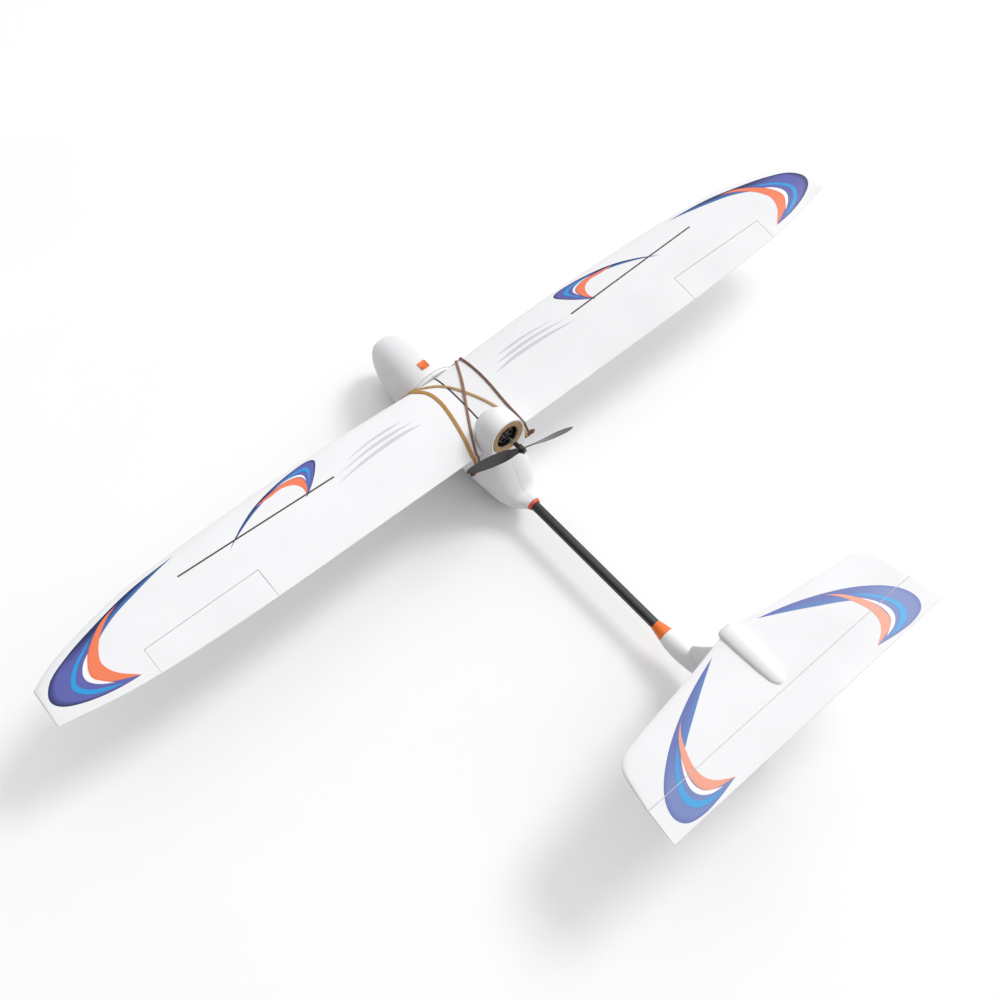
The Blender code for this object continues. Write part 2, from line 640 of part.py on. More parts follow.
def make_linkage(prefix, hinge_place, shaft, drop, axis, long_way, skin, hinge):
    """Horn on the surface, servo arm of the same length, and the wire that joins them."""
    half = axis * (PLATE / 2)
    make_servo(prefix + "_servo", shaft, axis, long_way)
    arm_pivot = pivot(prefix + "_servo_axis", shaft)
    arm = prism(prefix + "_servo_arm", [p - half for p in plate_outline(shaft, 0.0036, shaft + drop, 0.0024, axis)],
                axis * PLATE, "horn_plastic", arm_pivot)
    pin, horn_pin = shaft + drop, hinge_place + drop
    foot = skin[0].lerp(skin[1], 0.5)
    horn_tip = plate_outline(foot, 0.001, horn_pin, 0.0024, axis)[7:]
    base = sorted(skin, key=lambda p: -p.dot(axis.cross(horn_pin - foot)))
    horn = prism(prefix + "_horn", [p - half for p in horn_tip + base], axis * PLATE, "horn_plastic", hinge)
    for plate, place in ((arm, pin), (horn, horn_pin)):
        combine(plate, rod(plate.name + "_hole", place - axis * 0.003, place + axis * 0.003, 0.0012, 10, None))
    rod_pivot = pivot(prefix + "_rod_axis", pin)
    rod_pivot.parent = arm_pivot
    rod_pivot.matrix_world = Matrix.Translation(pin)
    bpy.context.view_layer.update()
    out = axis * ROD_OFFSET
    back = axis * -0.0017
    wire = [pin + back, pin + out * 0.7, pin + out + (horn_pin - pin).normalized() * 0.0012,
            horn_pin + out - (horn_pin - pin).normalized() * 0.0012, horn_pin + out * 0.7, horn_pin + back]
    square = axis.cross(horn_pin - pin).normalized()
    sweep(prefix + "_pushrod", wire, square, 0.0008, 0.0008, "steel", rod_pivot)


# ---------------------------------------------------------------- wing
JOINER_REACH = 0.28
JOINER_RADIUS = 0.004
JOINER_Y = 0.002
JOINER_Z = 0.0068
STRIP_FROM = 0.301
STRIP_TO = 0.640
HORN_X = 0.640
POD_FRONT_Y = 0.0725
POD_HALF_WIDTH = 0.0405


def pod_half_width(y):
    """Half width of the motor pod in plan: a blunt round nose, then straight sides."""
    full_y = 0.122
    if y >= full_y:
        return POD_HALF_WIDTH
    return POD_HALF_WIDTH * quarter((full_y - y) / (full_y - POD_FRONT_Y))


def make_wing(label, side):
    stations = [GAP / 2] + WING_STATIONS[1:]
    wing = loft("wing_" + label, [wing_ring(x, side) for x in stations], "foam")
    start = at(side * -0.01, JOINER_Y, JOINER_Z - 0.01 * DIHEDRAL)
    reach = JOINER_REACH + 0.001
    end = at(side * reach, JOINER_Y, JOINER_Z + reach * DIHEDRAL)
    combine(wing, rod("joiner_bore_" + label, start, end, JOINER_RADIUS + GAP, 16, None))
    steps = [POD_FRONT_Y - 0.0006 + (0.122 - POD_FRONT_Y) * (1 - math.cos(math.pi / 2 * i / 6)) for i in range(7)]
    curve = [(0.0006 + pod_half_width(y + 0.0006), y) for y in steps]
    notch = [at(side * -0.005, steps[0], -0.05)] + [at(side * x, y, -0.05) for x, y in curve]
    notch += [at(side * (POD_HALF_WIDTH + 0.0006), 0.17, -0.05), at(side * -0.005, 0.17, -0.05)]
    combine(wing, prism("pod_notch_" + label, notch, Vector((0, 0, 0.12)), None))
    end_gap = 0.0008
    x_in, x_out = AILERON_IN - end_gap, AILERON_OUT + end_gap
    bay = [at(side * x_in, hinge_y(x_in) - 0.0004, -0.05), at(side * x_out, hinge_y(x_out) - 0.0004, -0.05),
           at(side * x_out, 0.20, -0.05), at(side * x_in, 0.20, -0.05)]
    combine(wing, prism("aileron_bay_" + label, bay, Vector((0, 0, 0.2)), None))
    make_strip(wing, label, side)
    make_aileron(wing, label, side)
    return wing


def make_strip(wing, label, side):
    """Dark stiffening strip let into the top skin."""
    def path(x_from, x_to):
        xs = [x_from + (x_to - x_from) * i / 8 for i in range(9)]
        return [at(side * x, 0, wing_z(x, 0) - 0.0004) for x in xs]
    back = Vector((0, 1, 0))
    groove = sweep("strip_groove_" + label, path(STRIP_FROM - 0.0005, STRIP_TO + 0.0005), back, 0.0018, 0.0012,
                   None, sides=8)
    combine(wing, groove)
    sweep("spar_strip_" + label, path(STRIP_FROM, STRIP_TO), back, 0.0015, 0.0009, "carbon", sides=8)


def make_aileron(wing, label, side):
    inner, outer = hinge_point(AILERON_IN, side), hinge_point(AILERON_OUT, side)
    axis = (outer - inner).normalized() * side
    place = hinge_point(HORN_X, side)
    hinge = pivot("aileron_hinge_" + label, place)
    rings = []
    for x in (AILERON_IN, 0.60, 0.68, AILERON_OUT):
        y0, te = hinge_y(x), spline(TRAILING_EDGE, x)
        top = hinge_point(x, side).z + 0.0004
        front = at(side * x, y0 + 0.0004, 0)
        front.z = top
        bevel = (wing_z(x, y0) - wing_z(x, y0, False)) * 0.62
        ys = [y0 + (te - y0) * k for k in (0.35, 0.7, 1)]
        upper = [at(side * x, y, wing_z(x, y)) for y in ys]
        lower = [at(side * x, y, wing_z(x, y, False)) for y in reversed(ys)]
        low_front = at(side * x, y0 + bevel, wing_z(x, y0 + bevel, False))
        rings.append([front] + upper + lower + [low_front])
    loft("aileron_" + label, rings, "foam", hinge)
    drop = Vector((0, 0.004, -0.022))
    drop -= axis * drop.dot(axis)
    skin = []
    for behind in (0.008, 0.022):
        y = hinge_y(HORN_X) + behind
        skin.append(at(side * HORN_X, y, wing_z(HORN_X, y, False) - 2 * GAP))
    shaft_y = 0.014
    shaft = at(side * HORN_X, shaft_y, wing_z(HORN_X, shaft_y, False) + 0.0048)
    # the shaft lies in the horn's plane, so that the push rod runs square to the hinge
    shaft -= axis * (shaft - place).dot(axis)
    spanwise = axis * side
    forward = (Vector((0, -1, 0)) + spanwise * spanwise.y).normalized()
    make_linkage("aileron_" + label, place, shaft, drop, spanwise, forward, skin, hinge)
    combine(wing, servo_pocket("servo_pocket_" + label, shaft, spanwise, forward, Vector((0, 0, -1)), 0.03))


def make_wings():
    make_wing("left", 1)
    make_wing("right", -1)
    path = [at(x, JOINER_Y, JOINER_Z + abs(x) * DIHEDRAL) for x in (-JOINER_REACH, 0, JOINER_REACH)]
    sweep("wing_joiner", path, Vector((0, 1, 0)), JOINER_RADIUS, JOINER_RADIUS, "carbon", sides=16)


# ---------------------------------------------------------------- motor and propeller
def motor_place(along):
    axis = motor_axis()
    return at(0, MOTOR_RING_Y, MOTOR_RING_Z) + axis * along


def motor_axis():
    return Vector((0, math.cos(MOTOR_TILT), math.sin(MOTOR_TILT)))


def make_motor_pod():
    """Foam housing standing on the fuselage through the notch in the wing."""
    base = -0.0012
    length = MOTOR_RING_Y - POD_FRONT_Y
    rings = []
    for part in (0.006, 0.05, 0.13, 0.25, 0.40, 0.62, 0.80, 1):
        y = POD_FRONT_Y + length * part
        wide = pod_half_width(y)
        top = 0.012 + (MOTOR_RING_Z + POD_HALF_WIDTH - 0.012) * wide / POD_HALF_WIDTH
        centre = max(top - wide, 0.004)
        lean = math.tan(MOTOR_TILT) * max(0, (part - 0.4) / 0.6)
        arc = [(wide * math.cos(a), centre + (top - centre) * math.sin(a))
               for a in (math.pi * i / 14 for i in range(15))]
        outline = [(wide, base)] + arc + [(-wide, base)]
        rings.append([at(x, y - (z - MOTOR_RING_Z) * lean, z) for x, z in outline])
    pod = loft("motor_pod", rings, "foam")
    axis = motor_axis()
    combine(pod, rod("motor_chamber", motor_place(-0.036), motor_place(0.02), 0.0250, 28, None))
    combine(pod, rod("ring_recess", motor_place(-0.0033), motor_place(0.02), 0.0373, 36, None))
    turned("motor_mount_ring", [(0.0370, -0.0030), (0.0370, 0), (0.0255, 0), (0.0255, -0.0030)],
           motor_place(0), axis, 36, "plywood")


def make_motor():
    axis = motor_axis()
    centre = motor_place(0)
    turned("motor_base", [(0.0180, -0.0357), (0.0180, -0.0335), (0.0085, -0.0320), (0.0031, -0.0320),
                          (0.0031, -0.0357)], centre, axis, 24, "motor_metal")
    outline = []
    across = Vector((1, 0, 0))
    up = axis.cross(across)
    teeth = 12
    for k in range(teeth):
        for shift, radius in ((-0.30, 0.0138), (-0.10, 0.0175), (0.10, 0.0175), (0.30, 0.0138)):
            a = 2 * math.pi * (k + shift) / teeth
            outline.append(motor_place(-0.0300) + (across * math.cos(a) + up * math.sin(a)) * radius)
    stator = prism("motor_stator", outline, axis * 0.0175, "copper")
    combine(stator, rod("stator_bore", motor_place(-0.04), motor_place(0), 0.0031, 16, None))
    spin = pivot("prop_axis", motor_place(0), axis)
    turned("motor_bell", [(0.0205, -0.0310), (0.0205, -0.0095), (0.0189, -0.0080), (0.0028, -0.0080),
                          (0.0028, -0.0100), (0.0187, -0.0100), (0.0187, -0.0310)],
           centre, axis, 32, "motor_metal", spin)
    windows_from, windows_to = motor_place(-0.0115), motor_place(-0.006)
    for k in range(6):
        a = 2 * math.pi * k / 6
        aside = (across * math.cos(a) + up * math.sin(a)) * 0.0118
        combine(bpy.data.objects["motor_bell"],
                rod("bell_window_%d" % k, windows_from + aside, windows_to + aside, 0.0045, 14, None))
    rod("motor_shaft", motor_place(-0.0315), motor_place(0.0500), 0.0025, 14, "steel", spin)
    turned("prop_adapter", [(0.0045, 0.0200), (0.0050, 0.0310), (0.0072, 0.0322), (0.0072, 0.0340),
                            (0.0028, 0.0340), (0.0028, 0.0200)], centre, axis, 18, "motor_metal", spin)
    make_propeller(spin)
    turned("prop_nut", [(0.0054, 0.0447), (0.0054, 0.0485), (0.0040, 0.0497), (0.0033, 0.0497),
                        (0.0033, 0.0447)], centre, axis, 6, "black_plastic", spin)


CHORDS = [(0.004, 0.0100), (0.018, 0.0130), (0.041, 0.0215), (0.069, 0.0255), (0.096, 0.0245),
          (0.121, 0.0180), (0.134, 0.0100), (PROP_RADIUS, 0.0030)]
PROP_PITCH = 0.152


def make_propeller(spin):
    """Two blades of constant pitch that meet in a bored hub."""
    axis = motor_axis()
    centre = motor_place(0.0393)
    across = Vector((1, 0, 0))
    up = across.cross(axis)
    hub = turned("propeller", [(0.0072, -0.005), (0.0072, 0.005), (0.0028, 0.005), (0.0028, -0.005)],
                 centre, axis, 20, "black_plastic", spin)
    for half_turn in (0, 1):
        a = PROP_ANGLE + math.pi * half_turn
        outward = across * math.cos(a) + up * math.sin(a)
        sideways = up * math.cos(a) - across * math.sin(a)
        rings = []
        for radius in (0.0045, 0.011, 0.020, 0.032, 0.050, 0.069, 0.087, 0.105, 0.119, 0.129, 0.1345, PROP_RADIUS):
            pitch = min(math.atan(PROP_PITCH / (2 * math.pi * max(radius, 0.02))), math.radians(42))
            chord = spline(CHORDS, radius)
            wide = sideways * math.cos(pitch) - axis * math.sin(pitch)
            deep = outward.cross(wide)
            thick = 0.0030 - 0.0022 * radius / PROP_RADIUS
            rings.append([centre + outward * radius + wide * chord / 2 * math.cos(t)
                          + deep * thick / 2 * math.sin(t) for t in (2 * math.pi * i / 10 for i in range(10))])
        combine(hub, loft("blade_%d" % half_turn, rings, None), "UNION")


# ---------------------------------------------------------------- rubber bands
BAND_THICK = 0.0014
BANDS = {
    # name: half width, lift at the crossing, front dowel x, rear dowel x, and (y, x) across the wing
    "rubber_band_left": (0.0038, 0, 0.0765, 0.0680,
                         [(-0.0770, 0.0600), (-0.051, 0.040), (-0.015, 0.0345), (0.025, 0.039),
                          (0.077, 0.050), (0.1200, 0.0630)]),
    "rubber_band_left_to_right": (0.0028, 0, 0.0690, -0.0600,
                                  [(-0.0770, 0.0510), (-0.046, 0.008), (-0.004, -0.017), (0.051, -0.040),
                                   (0.1200, -0.0575)]),
    "rubber_band_right_to_left": (0.0028, 0.0024, -0.0690, 0.0600,
                                  [(-0.0770, -0.0580), (-0.021, -0.0285), (0.022, -0.002), (0.077, 0.031),
                                   (0.1200, 0.0540)]),
    "rubber_band_right": (0.0028, 0, -0.0755, -0.0668,
                          [(-0.0770, -0.0690), (0.003, -0.0680), (0.069, -0.0640), (0.1200, -0.0645)]),
}
BAND_CROSS_Y = -0.005


def dowel_arc(x, place, start, end, steps=6):
    """Points round a dowel, from one angle to another in degrees from +Y towards +Z."""
    y, z = place
    radius = DOWEL_RADIUS + BAND_THICK / 2 + GAP
    angles = [math.radians(start + (end - start) * i / steps) for i in range(steps + 1)]
    return [at(x, y + radius * math.cos(a), z + radius * math.sin(a)) for a in angles]


def make_bands():
    clear = BAND_THICK / 2 + 0.0009
    for name, (half_width, lift, front_x, rear_x, plan) in BANDS.items():
        side = math.copysign(1, front_x)
        first_x, last_x = plan[0][1], plan[-1][1]
        path = dowel_arc(front_x, FRONT_DOWEL, 330, 152)
        path.append(at(front_x - side * 0.0018, -0.0880, -0.0130))
        path.append(at(first_x + side * 0.0015, -0.0795, DIHEDRAL * abs(first_x) - 0.0005))
        path.append(at(first_x, -0.0775, DIHEDRAL * abs(first_x) + 0.0060))
        for i in range(15):
            y = -0.0715 + (0.1200 + 0.0715) * i / 14
            x = spline(plan, y)
            hump = lift * math.exp(-((y - BAND_CROSS_Y) / 0.022) ** 2)
            path.append(at(x, y, wing_z(x, y) + clear + hump))
        path.append(at(last_x, 0.1265, wing_z(last_x, 0.1265) + 0.0002))
        path += dowel_arc(rear_x, REAR_DOWEL, 20, -150)
        sweep(name, path, Vector((1, 0, 0)), half_width, BAND_THICK / 2, "rubber_band")


def main():
    for obj in list(bpy.data.objects):
        bpy.data.objects.remove(obj)
    make_fuselage()
    make_hatch()
    make_equipment()
    make_boom()
    make_fin()
    make_rudder()
    stab = make_stabilizer()
    combine(stab, servo_pocket("elevator_servo_pocket", at(0.050, 0.782, STAB_Z - 0.0085), Vector((1, 0, 0)),
                               Vector((0, -1, 0)), Vector((0, 0, -1)), 0.02))
    make_wings()
    make_motor_pod()
    make_motor()
    make_bands()


main()
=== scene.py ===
"""Looks of the foam RC glider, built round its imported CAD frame.

Metres, +Z up; the nose points towards -Y and +X is the pilot's left. Fine foam, decals, rubber bands,
propeller and tail replace the plain CAD solids; small metal and plastic pieces keep their CAD meshes.
"""
import json
import math

import bmesh
import bpy
from mathutils import Matrix, Vector


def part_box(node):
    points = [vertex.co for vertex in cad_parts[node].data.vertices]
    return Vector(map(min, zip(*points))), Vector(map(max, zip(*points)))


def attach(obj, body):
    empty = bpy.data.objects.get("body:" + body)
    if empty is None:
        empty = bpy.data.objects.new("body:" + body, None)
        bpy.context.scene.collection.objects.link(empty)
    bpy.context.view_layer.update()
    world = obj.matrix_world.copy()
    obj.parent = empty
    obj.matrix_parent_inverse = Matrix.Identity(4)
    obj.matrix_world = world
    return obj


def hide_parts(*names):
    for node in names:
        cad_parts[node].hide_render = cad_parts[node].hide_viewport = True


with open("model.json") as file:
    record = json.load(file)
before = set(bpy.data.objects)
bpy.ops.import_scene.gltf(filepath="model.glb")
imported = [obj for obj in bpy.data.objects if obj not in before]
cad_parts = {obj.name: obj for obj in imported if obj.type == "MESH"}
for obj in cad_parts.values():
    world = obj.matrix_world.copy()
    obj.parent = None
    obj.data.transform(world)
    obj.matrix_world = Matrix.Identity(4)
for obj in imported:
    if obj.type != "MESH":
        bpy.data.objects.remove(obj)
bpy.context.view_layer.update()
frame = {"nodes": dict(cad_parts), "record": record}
BODY_OF = {node: body for body, nodes in frame["record"]["behaviour"]["bodies"].items() for node in nodes}
SLOT_OF = {row["node"]: row["material_slot"] for row in frame["record"]["subparts"]}


def mid_point(node):
    low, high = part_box(node)
    return (low + high) / 2


# ---------------------------------------------------------------- places read from the frame
GAP = 0.0003
SPAR_Y = mid_point("spar_strip_left").y
HALF_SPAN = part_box("wing_left")[1].x
BOOM = mid_point("tail_boom")
BOOM_RADIUS = (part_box("tail_boom")[1].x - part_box("tail_boom")[0].x) / 2
CHORD_Z = BOOM.z + 0.100            # wing root chord plane, above the boom's centre
TURN_AXIS = Vector((0, 1, 0))

# Lengthwise places below are measured from the spar line, heights from the root chord plane.
DIHEDRAL = 0.066
NOSE_Y = -0.275
BELLY_Z = -CHORD_Z
PARTING_Z = -0.052
HATCH_REAR_Y = -0.0840
COLLAR_REAR_Y = -0.0778
SADDLE_Z = -0.0050
POD_END_Y = 0.229
BOOM_FRONT_Y = 0.110
FOAM_WALL = 0.006
BOOM_Z = -0.100
MOTOR_RING_Y = 0.151
MOTOR_RING_Z = 0.048
MOTOR_TILT = math.radians(6)
PROP_RADIUS = 0.1375
PROP_ANGLE = math.radians(20)
STAB_Z = 0.102
ELEVATOR_HINGE_Y = 0.8455
STAB_TE_Y = 0.909
RUDDER_HINGE_Y = 0.800
FIN_TOP_Z = 0.0970
FIN_BOTTOM_Z = -0.148
AILERON_IN = 0.5226
AILERON_OUT = 0.7587
AILERON_HINGE_IN_Y = 0.0745
AILERON_HINGE_OUT_Y = 0.0825
FRONT_DOWEL = (-0.112, -0.062)
REAR_DOWEL = (0.136, -0.022)
DOWEL_RADIUS = 0.003
DOWEL_HALF = 0.082
SERVO_MARGIN = 0.0006               # room left round a tail servo in its pocket
SIDES = (("left", 1), ("right", -1))


def at(x, y, z):
    """A point given from the centreline, the spar line and the root chord plane."""
    return Vector((x, y + SPAR_Y, z + CHORD_Z))


def spline(points, x):
    """Height at x of a smooth curve through a few (x, y) points."""
    last = len(points) - 1
    x = min(max(x, points[0][0]), points[last][0])
    i = 0
    while i < last - 1 and x > points[i + 1][0]:
        i += 1

    def slope(k):
        a = points[max(k - 1, 0)]
        b = points[min(k + 1, last)]
        return (b[1] - a[1]) / (b[0] - a[0])

    (x0, y0), (x1, y1) = points[i], points[i + 1]
    span = x1 - x0
    t = (x - x0) / span
    return ((2 * t ** 3 - 3 * t ** 2 + 1) * y0 + (t ** 3 - 2 * t ** 2 + t) * span * slope(i)
            + (3 * t ** 2 - 2 * t ** 3) * y1 + (t ** 3 - t ** 2) * span * slope(i + 1))


def quarter(t):
    """Quarter-ellipse rise from 0 at t = 1 to 1 at t = 0."""
    return math.sqrt(max(0.0, 1 - t * t))


def spread(start, end, count):
    return [start + (end - start) * i / count for i in range(count + 1)]


def cosine_steps(count):
    return [(1 - math.cos(math.pi * i / count)) / 2 for i in range(count + 1)]


def ease(count):
    """Steps from 0 to 1, close together at first."""
    return [1 - math.cos(math.pi / 2 * i / count) for i in range(count + 1)]


def circle(count):
    """Evenly spaced angles, once round."""
    return [2 * math.pi * i / count for i in range(count)]


# ---------------------------------------------------------------- materials
def feed(tree, plug, value):
    """Link a socket to an input, or set the input's own value."""
    if isinstance(value, bpy.types.NodeSocket):
        tree.links.new(value, plug)
    else:
        plug.default_value = value


def add(tree, kind, settings=None, **inputs):
    """A node with its settings and inputs; an input that is a socket is linked."""
    node = tree.nodes.new("ShaderNode" + kind)
    for key, value in (settings or {}).items():
        setattr(node, key, value)
    for key, value in inputs.items():
        feed(tree, node.inputs[key.replace("_", " ")], value)
    return node


def calc(tree, operation, *values):
    """The result of a Math node fed with sockets or numbers."""
    node = add(tree, "Math", {"operation": operation})
    for plug, value in zip(node.inputs, values):
        feed(tree, plug, value)
    return node.outputs["Value"]


def mix(tree, factor, first, second, blend="MIX"):
    """The colour from a Mix node, whose colour inputs are numbers 6 and 7."""
    node = add(tree, "Mix", {"data_type": "RGBA", "blend_type": blend})
    for index, value in ((0, factor), (6, first), (7, second)):
        feed(tree, node.inputs[index], value)
    return node.outputs[2]


def ramp(tree, factor, stops):
    """A colour ramp; each stop is (position, colour or grey)."""
    node = add(tree, "ValToRGB", Fac=factor)
    cells = node.color_ramp.elements
    while len(cells) < len(stops):
        cells.new(0.5)
    for cell, (place, colour) in zip(cells, stops):
        cell.position = place
        cell.color = (*colour, 1) if isinstance(colour, tuple) else (colour, colour, colour, 1)
    return node.outputs["Color"]


def blank(name, roughness, **sockets):
    """A Principled material and its node tree."""
    mat = bpy.data.materials.new(name)
    mat.use_nodes = True
    shader = mat.node_tree.nodes["Principled BSDF"]
    shader.inputs["Roughness"].default_value = roughness
    for key, value in sockets.items():
        shader.inputs[key.replace("_", " ")].default_value = value
    return mat, mat.node_tree, shader


def object_space(tree):
    return add(tree, "TexCoord").outputs["Object"]


def stretched(tree, scale):
    """Object space scaled axis by axis, so that a pattern runs along one way."""
    return add(tree, "Mapping", Vector=object_space(tree), Scale=scale).outputs["Vector"]


def noise(tree, place, scale, detail, **more):
    return add(tree, "TexNoise", Vector=place, Scale=scale, Detail=detail, **more).outputs["Fac"]


def shade(tone, factor):
    return tuple(c * factor for c in tone)


def colour_by(tree, shader, value, tints, roughs=None):
    """Base colour, and roughness where it is given, ramped from one pattern."""
    tree.links.new(ramp(tree, value, tints), shader.inputs["Base Color"])
    if roughs:
        tree.links.new(ramp(tree, value, roughs), shader.inputs["Roughness"])


def relief(tree, shader, height, strength, distance, rounding=0.0):
    """Bump from a height, over softly rounded edges where a rounding is given."""
    bump = add(tree, "Bump", Strength=strength, Distance=distance, Height=height)
    if rounding:
        edge = add(tree, "Bevel", {"samples": 4}, Radius=rounding)
        tree.links.new(edge.outputs["Normal"], bump.inputs["Normal"])
    tree.links.new(bump.outputs["Normal"], shader.inputs["Normal"])


def foam_bump(tree, shader, strength=0.35):
    """Moulded bead foam: faint cell outlines under a closed skin, and softly rounded edges."""
    place = object_space(tree)
    cells = add(tree, "TexVoronoi", {"feature": "DISTANCE_TO_EDGE"}, Vector=place, Scale=330)
    seams = ramp(tree, cells.outputs["Distance"], [(0.0, 0.0), (0.10, 1.0)])
    height = calc(tree, "MULTIPLY_ADD", noise(tree, place, 1400, 2), 0.35, seams)
    relief(tree, shader, height, strength, 0.00012, 0.0009)
    return place, seams


def foam(name, tone):
    mat, tree, shader = blank(name, 0.5, Specular_IOR_Level=0.35)
    place, seams = foam_bump(tree, shader)
    patch = noise(tree, place, 9, 3)
    tint = ramp(tree, patch, [(0.3, shade(tone, 0.965)), (0.7, tone)])
    tree.links.new(mix(tree, 0.05, tint, seams, "MULTIPLY"), shader.inputs["Base Color"])
    tree.links.new(ramp(tree, patch, [(0.3, 0.60), (0.7, 0.46)]), shader.inputs["Roughness"])
    return mat


def film_base(name):
    """Printed film with the foam's cells showing through, and its places along and across."""
    mat, tree, shader = blank(name, 0.38, Specular_IOR_Level=0.45)
    place, _ = foam_bump(tree, shader, 0.25)
    sheet = add(tree, "SeparateXYZ", Vector=add(tree, "TexCoord").outputs["UV"]).outputs
    return mat, tree, shader, place, sheet["X"], sheet["Y"]


def ink(name, edge_tone, core_tone):
    """Plain decal colour, darker towards its outer edge."""
    mat, tree, shader, place, _, across = film_base(name)
    value = calc(tree, "MULTIPLY_ADD", noise(tree, place, 60, 3), 0.06, across)
    colour_by(tree, shader, value, [(0.03, edge_tone), (0.30, core_tone)])
    return mat


def swoosh_ink(name, edge_tone, core_tone, lead_tone):
    """Main decal colour: a dark rim all round, and a lighter blue inner side along its leading arm."""
    mat, tree, shader, _, along, across = film_base(name)
    body = ramp(tree, across, [(0.02, edge_tone), (0.16, core_tone)])
    lead = ramp(tree, across, [(0.40, edge_tone), (0.85, lead_tone)])
    arm = ramp(tree, along, [(0.30, 0.0), (0.46, 1.0)])
    tree.links.new(mix(tree, arm, lead, body), shader.inputs["Base Color"])
    return mat


def plastic(name, tone, roughness, coat=0.0, scale=900):
    """Moulded plastic: a fine orange-peel skin and a little variation in its gloss."""
    mat, tree, shader = blank(name, roughness, Coat_Weight=coat, Coat_Roughness=0.15)
    place = object_space(tree)
    colour_by(tree, shader, noise(tree, place, 45, 4), [(0.3, shade(tone, 0.86)), (0.7, tone)],
              [(0.3, roughness + 0.08), (0.7, roughness - 0.05)])
    relief(tree, shader, noise(tree, place, scale, 2), 0.15, 0.00004, 0.0003)
    return mat


def metal(name, tone, roughness, stretch):
    """Turned or drawn metal: fine lines along one way."""
    mat, tree, shader = blank(name, roughness, Metallic=1.0)
    lines = noise(tree, stretched(tree, stretch), 1, 4)
    colour_by(tree, shader, lines, [(0.3, shade(tone, 0.75)), (0.7, tone)],
              [(0.25, roughness + 0.12), (0.75, roughness - 0.06)])
    relief(tree, shader, lines, 0.1, 0.00002)
    return mat


def carbon_tube(name):
    """Wrapped carbon fibre: crossing diagonal tows under a satin coat."""
    mat, tree, shader = blank(name, 0.36, Coat_Weight=0.25, Coat_Roughness=0.22)
    place = object_space(tree)
    tows = []
    for turn in (math.radians(45), math.radians(-45)):
        tilt = add(tree, "Mapping", Vector=place, Rotation=(turn, 0, turn)).outputs["Vector"]
        wave = add(tree, "TexWave", {"bands_direction": "Y"}, Vector=tilt, Scale=160, Distortion=0.4)
        tows.append(wave.outputs["Fac"])
    weave = calc(tree, "MAXIMUM", *tows)
    colour_by(tree, shader, weave, [(0.4, (0.006, 0.006, 0.007)), (1.0, (0.022, 0.022, 0.025))],
              [(0.4, 0.50), (1.0, 0.33)])
    relief(tree, shader, weave, 0.2, 0.00006)
    return mat


def plywood(name, tone):
    mat, tree, shader = blank(name, 0.62)
    grain = noise(tree, stretched(tree, (40, 400, 400)), 1, 5, Distortion=0.6)
    colour_by(tree, shader, grain, [(0.3, shade(tone, 0.55)), (0.55, tone), (0.8, shade(tone, 1.2))])
    relief(tree, shader, grain, 0.3, 0.0001)
    return mat


def rubber(name, tone):
    """Cut rubber band: dusty, with fine marks along the stretch."""
    mat, tree, shader = blank(name, 0.55, Specular_IOR_Level=0.4)
    marks = noise(tree, stretched(tree, (900, 90, 300)), 1, 4)
    colour_by(tree, shader, marks, [(0.3, shade(tone, 0.72)), (0.7, tone)], [(0.3, 0.66), (0.7, 0.44)])
    relief(tree, shader, marks, 0.25, 0.00008)
    return mat


def webbing(name):
    mat, tree, shader = blank(name, 0.9, Sheen_Weight=0.4, Sheen_Roughness=0.5)
    place = object_space(tree)
    threads = [add(tree, "TexWave", {"bands_direction": way}, Vector=place, Scale=500).outputs["Fac"]
               for way in "XY"]
    cloth = calc(tree, "MULTIPLY", *threads)
    colour_by(tree, shader, cloth, [(0.0, (0.008, 0.008, 0.009)), (0.8, (0.045, 0.045, 0.048))])
    relief(tree, shader, cloth, 0.6, 0.0002)
    return mat


LOOKS = {
    "foam": foam("white_foam", (0.845, 0.845, 0.862)),
    "carbon": carbon_tube("carbon_fibre"),
    "orange_plastic": plastic("bright_orange_plastic", (0.90, 0.17, 0.010), 0.36, 0.2),
    "plywood": plywood("birch_plywood", (0.44, 0.27, 0.12)),
    "black_plastic": plastic("black_moulded_plastic", (0.017, 0.017, 0.018), 0.30, 0.15),
    "horn_plastic": plastic("white_nylon", (0.72, 0.72, 0.73), 0.42),
    "battery_wrap": plastic("heat_shrink_wrap", (0.045, 0.065, 0.20), 0.30, 0.5, 260),
    "strap": webbing("hook_and_loop_strap"),
    "servo_case": plastic("translucent_blue_plastic", (0.02, 0.06, 0.28), 0.24, 0.5),
    "steel": metal("spring_steel", (0.55, 0.55, 0.57), 0.30, (900, 60, 900)),
    "motor_metal": metal("anodised_motor_metal", (0.045, 0.045, 0.050), 0.34, (60, 900, 60)),
    "copper": metal("enamelled_copper", (0.46, 0.12, 0.05), 0.34, (900, 900, 900)),
    "rubber_band": rubber("tan_rubber", (0.50, 0.27, 0.10)),
}
RED_RING = plastic("red_orange_plastic", (0.78, 0.075, 0.025), 0.38, 0.2)
